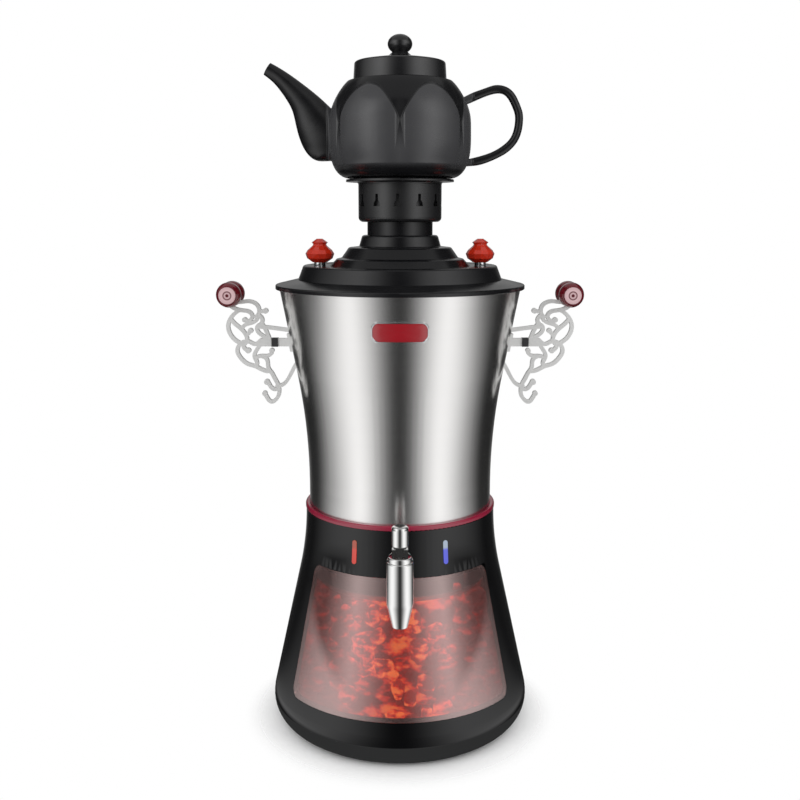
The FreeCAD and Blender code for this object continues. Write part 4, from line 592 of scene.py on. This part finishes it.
def make_coals():
    """Lumps of coal over the glowing cone: each a sphere pushed in and out by a sum of sines, laid
    on the cone in rings, and all put into one mesh."""
    count, rows, columns = COAL_COUNT, COAL_ROWS, COAL_COLUMNS
    v = np.linspace(0, np.pi, rows)[:, None]
    u = np.linspace(0, 2 * np.pi, columns, endpoint=False)[None, :]
    unit = np.stack([np.sin(v) * np.cos(u), np.sin(v) * np.sin(u), np.cos(v) + 0 * u], axis=-1)
    share = RNG.random(count) ** 0.9
    rise = CONE_FOOT_Z + share * COAL_REACH
    place_r = CONE_FOOT_R + (CONE_TOP_R - CONE_FOOT_R) * ((rise - CONE_FOOT_Z) / CONE_HEIGHT)
    angle = RNG.random(count) * 2 * np.pi
    size = COAL_SMALLEST + COAL_SPREAD * RNG.random(count)
    phase = RNG.random((count, 3)) * COAL_PHASES
    x, y, z = (unit[None, ..., axis] for axis in range(3))
    shift_x, shift_y, shift_z = (phase[:, None, None, axis] for axis in range(3))
    bumps = 1 + 0.16 * np.sin(3.1 * x + shift_x) * np.cos(2.7 * y + shift_y) \
        + 0.10 * np.sin(5.3 * z + shift_z)
    stretch = 0.75 + 0.6 * RNG.random((count, 3))
    lumps = unit[None] * bumps[..., None] * (size[:, None] * stretch)[:, None, None, :]
    out = place_r + size * 0.15
    centre = np.stack([out * np.sin(angle), -out * np.cos(angle), rise + size * 0.9], axis=-1)
    points = lumps + centre[:, None, None, :]
    index = np.arange(count * rows * columns).reshape(count, rows, columns)
    index = np.concatenate([index, index[:, :, :1]], axis=2)
    corners = (index[:, :-1, :-1], index[:, 1:, :-1], index[:, 1:, 1:], index[:, :-1, 1:])
    quads = np.stack(corners, axis=-1)
    mesh = bpy.data.meshes.new("coals")
    mesh.from_pydata(points.reshape(-1, 3).tolist(), [], quads.reshape(-1, 4).tolist())
    mesh.validate()
    mesh.update()
    piece = bpy.data.objects.new("coals", mesh)
    bpy.context.scene.collection.objects.link(piece)
    put_on(piece, "urn", "coal")


# Studio

# Three soft boxes that the cards show: where each stands, in degrees round the samovar from the
# tap's side, how far it reaches to its left and to its right, and how bright its middle is
SOFTBOXES = ((-54, 72, 52, 1.05), (48, 47, 71, 1.05), (180, 40, 40, 0.45))
CARD_DARK = 0.03
WALL_R = 1.6
WALL_HEIGHTS = (-0.7, 0.35, 0.75, 2.0)
TABLE_RADII = (0.001, 0.148, 0.17, 0.85, 1.2, WALL_R)
TABLE_Z = -0.004
# Share of the brightness that is left low on the wall, by angle from the tap's side
LOW_ANGLES = (46, 64, 84, 180)
LOW_SHARES = (1.0, 0.45, 0.10, 0.5)

FLOOR_HALF, FLOOR_Z = 3.0, -0.0002
FLOOR_FADE = (0.100, 0.145)

CAMERA_PLACE = (0, -0.8764, 0.450)
CAMERA_TILT = 79.64
CAMERA_LENS, CAMERA_SENSOR = 45.42, 36.0


def softbox_level(angle):
    """Brightness at each angle: a dark level, and for each soft box its own brightness times the
    squared cosine that falls from 1 at its middle to 0 at its reach."""
    level = np.full(angle.shape, CARD_DARK)
    for middle, left, right, bright in SOFTBOXES:
        away = (angle - middle + 180) % 360 - 180
        share = np.minimum(np.abs(away) / np.where(away < 0, left, right), 1.0)
        level += bright * np.cos(math.radians(90) * share) ** 2
    return level


def stage_card(name, points, levels):
    """Studio card seen only in reflections, whose brightness follows its points."""
    card = grid_mesh(name, points)
    layer = card.data.attributes.new("level", "FLOAT", "POINT")
    layer.data.foreach_set("value", np.ravel(levels))
    material = bpy.data.materials.new(name)
    material.use_nodes = True
    tree = material.node_tree
    tree.nodes.remove(tree.nodes["Principled BSDF"])
    shader = tree.nodes.new("ShaderNodeEmission")
    level = tree.nodes.new("ShaderNodeAttribute")
    level.attribute_name = "level"
    tree.links.new(level.outputs["Fac"], shader.inputs["Strength"])
    tree.links.new(shader.outputs[0], tree.nodes["Material Output"].inputs["Surface"])
    card.data.materials.append(material)
    card.visible_camera = False
    card.visible_diffuse = False
    card.visible_transmission = False
    card.visible_shadow = False
    card.visible_volume_scatter = False


def make_cards():
    """Wide cylinder round the set, bright at both sides of the lens and dark straight ahead, and a
    table under the floor that continues it below, dark near the samovar's foot."""
    angle = np.arange(-180, 181, 3.0)
    level = softbox_level(angle)
    turn = np.radians(angle)[None, :]
    narrow = level * np.interp(np.abs(angle), LOW_ANGLES, LOW_SHARES)
    rise = np.array(WALL_HEIGHTS)[:, None]
    wall = np.stack(np.broadcast_arrays(WALL_R * np.sin(turn), -WALL_R * np.cos(turn), rise), axis=-1)
    stage_card("softbox_wall", np.array(wall), np.stack((narrow, narrow, level, level)))
    radius = np.array(TABLE_RADII)[:, None]
    table = np.stack(np.broadcast_arrays(
        radius * np.sin(turn), -radius * np.cos(turn), np.array(TABLE_Z)), axis=-1)
    dark = np.full(level.shape, CARD_DARK)
    stage_card("table_card", np.array(table), np.stack((dark, dark, level, level, narrow, narrow)))


def make_floor():
    """Pale floor that fades into the white backdrop away from the samovar."""
    line = np.linspace(-FLOOR_HALF, FLOOR_HALF, 2)
    level = np.full((2, 2), FLOOR_Z)
    points = np.stack(np.broadcast_arrays(line[None, :], line[:, None], level), axis=-1)
    floor = grid_mesh("floor", np.array(points))
    material = bpy.data.materials.new("floor_paper")
    material.use_nodes = True
    tree = material.node_tree
    shader = tree.nodes["Principled BSDF"]
    shader.inputs["Base Color"].default_value = (0.93, 0.93, 0.93, 1)
    shader.inputs["Roughness"].default_value = 0.9
    shader.inputs["Specular IOR Level"].default_value = 0.1
    place = tree.nodes.new("ShaderNodeTexCoord").outputs["Object"]
    length = tree.nodes.new("ShaderNodeVectorMath")
    length.operation = "LENGTH"
    tree.links.new(place, length.inputs[0])
    fade = tree.nodes.new("ShaderNodeMapRange")
    fade.interpolation_type = "SMOOTHSTEP"
    fade.inputs["From Min"].default_value = FLOOR_FADE[0]
    fade.inputs["From Max"].default_value = FLOOR_FADE[1]
    tree.links.new(length.outputs["Value"], fade.inputs["Value"])
    clear = tree.nodes.new("ShaderNodeBsdfTransparent")
    mix = tree.nodes.new("ShaderNodeMixShader")
    tree.links.new(fade.outputs["Result"], mix.inputs["Fac"])
    tree.links.new(shader.outputs[0], mix.inputs[1])
    tree.links.new(clear.outputs[0], mix.inputs[2])
    tree.links.new(mix.outputs[0], tree.nodes["Material Output"].inputs["Surface"])
    floor.data.materials.append(material)
    floor.visible_glossy = False


def make_world():
    """White to the camera, a plain pale grey to everything else."""
    world = bpy.data.worlds.new("studio")
    bpy.context.scene.world = world
    world.use_nodes = True
    tree = world.node_tree
    background = tree.nodes["Background"]
    rays = tree.nodes.new("ShaderNodeLightPath")
    level = math_node(tree, "MULTIPLY_ADD", rays.outputs["Is Camera Ray"], 0.40, 0.60)
    level = math_node(tree, "MULTIPLY_ADD", rays.outputs["Is Glossy Ray"], -0.25, level)
    background.inputs["Color"].default_value = (1, 1, 1, 1)
    tree.links.new(level, background.inputs["Strength"])


def area_lamp(name, place, target, size, power):
    """Rectangular lamp at a place, turned towards its target."""
    lamp = bpy.data.lights.new(name, "AREA")
    lamp.shape = "RECTANGLE"
    lamp.size, lamp.size_y = size
    lamp.energy = power
    thing = bpy.data.objects.new(name, lamp)
    thing.location = place
    thing.rotation_euler = (Vector(target) - Vector(place)).to_track_quat("-Z", "Y").to_euler()
    bpy.context.scene.collection.objects.link(thing)


def make_studio():
    """Floor, backdrop, softboxes, and the cards that the metal and the gloss reflect."""
    make_floor()
    make_world()
    area_lamp("softbox_left", (-1.5, -1.3, 1.1), (0, 0, 0.3), (0.9, 1.6), 13)
    area_lamp("softbox_right", (1.6, -1.1, 1.1), (0, 0, 0.3), (1.0, 1.6), 13)
    make_cards()


def make_camera():
    """Camera at the photograph's place: 0.88 m in front, a little above the lid, looking down 10
    degrees."""
    camera = bpy.data.cameras.new("camera")
    camera.lens = CAMERA_LENS
    camera.sensor_width = CAMERA_SENSOR
    thing = bpy.data.objects.new("camera", camera)
    thing.location = CAMERA_PLACE
    thing.rotation_euler = (math.radians(CAMERA_TILT), 0, 0)
    bpy.context.scene.collection.objects.link(thing)
    bpy.context.scene.camera = thing


def make_steam_guide():
    """Dark sleeve inside the crown, behind its cut-outs: two plain cylinders joined at both ends."""
    turn = np.linspace(0, 2 * np.pi, 96, endpoint=False)[None, :]
    section = np.array((
        (SLEEVE_OUTER_R, SLEEVE_LOW_Z), (SLEEVE_OUTER_R, SLEEVE_HIGH_Z), (SLEEVE_INNER_R, SLEEVE_HIGH_Z),
        (SLEEVE_INNER_R, SLEEVE_LOW_Z), (SLEEVE_OUTER_R, SLEEVE_LOW_Z)))
    radius, height = section[:, :1], section[:, 1:]
    points = np.stack(np.broadcast_arrays(radius * np.cos(turn), radius * np.sin(turn), height), axis=-1)
    sleeve = grid_mesh("steam_guide", np.array(points), closed=True)
    smooth(sleeve)
    put_on(sleeve, "lid", "moulded")


dress_nodes()
make_name_plate()
make_coals()
make_steam_guide()
make_studio()
make_camera()
bpy.context.scene.view_settings.view_transform = "Standard"
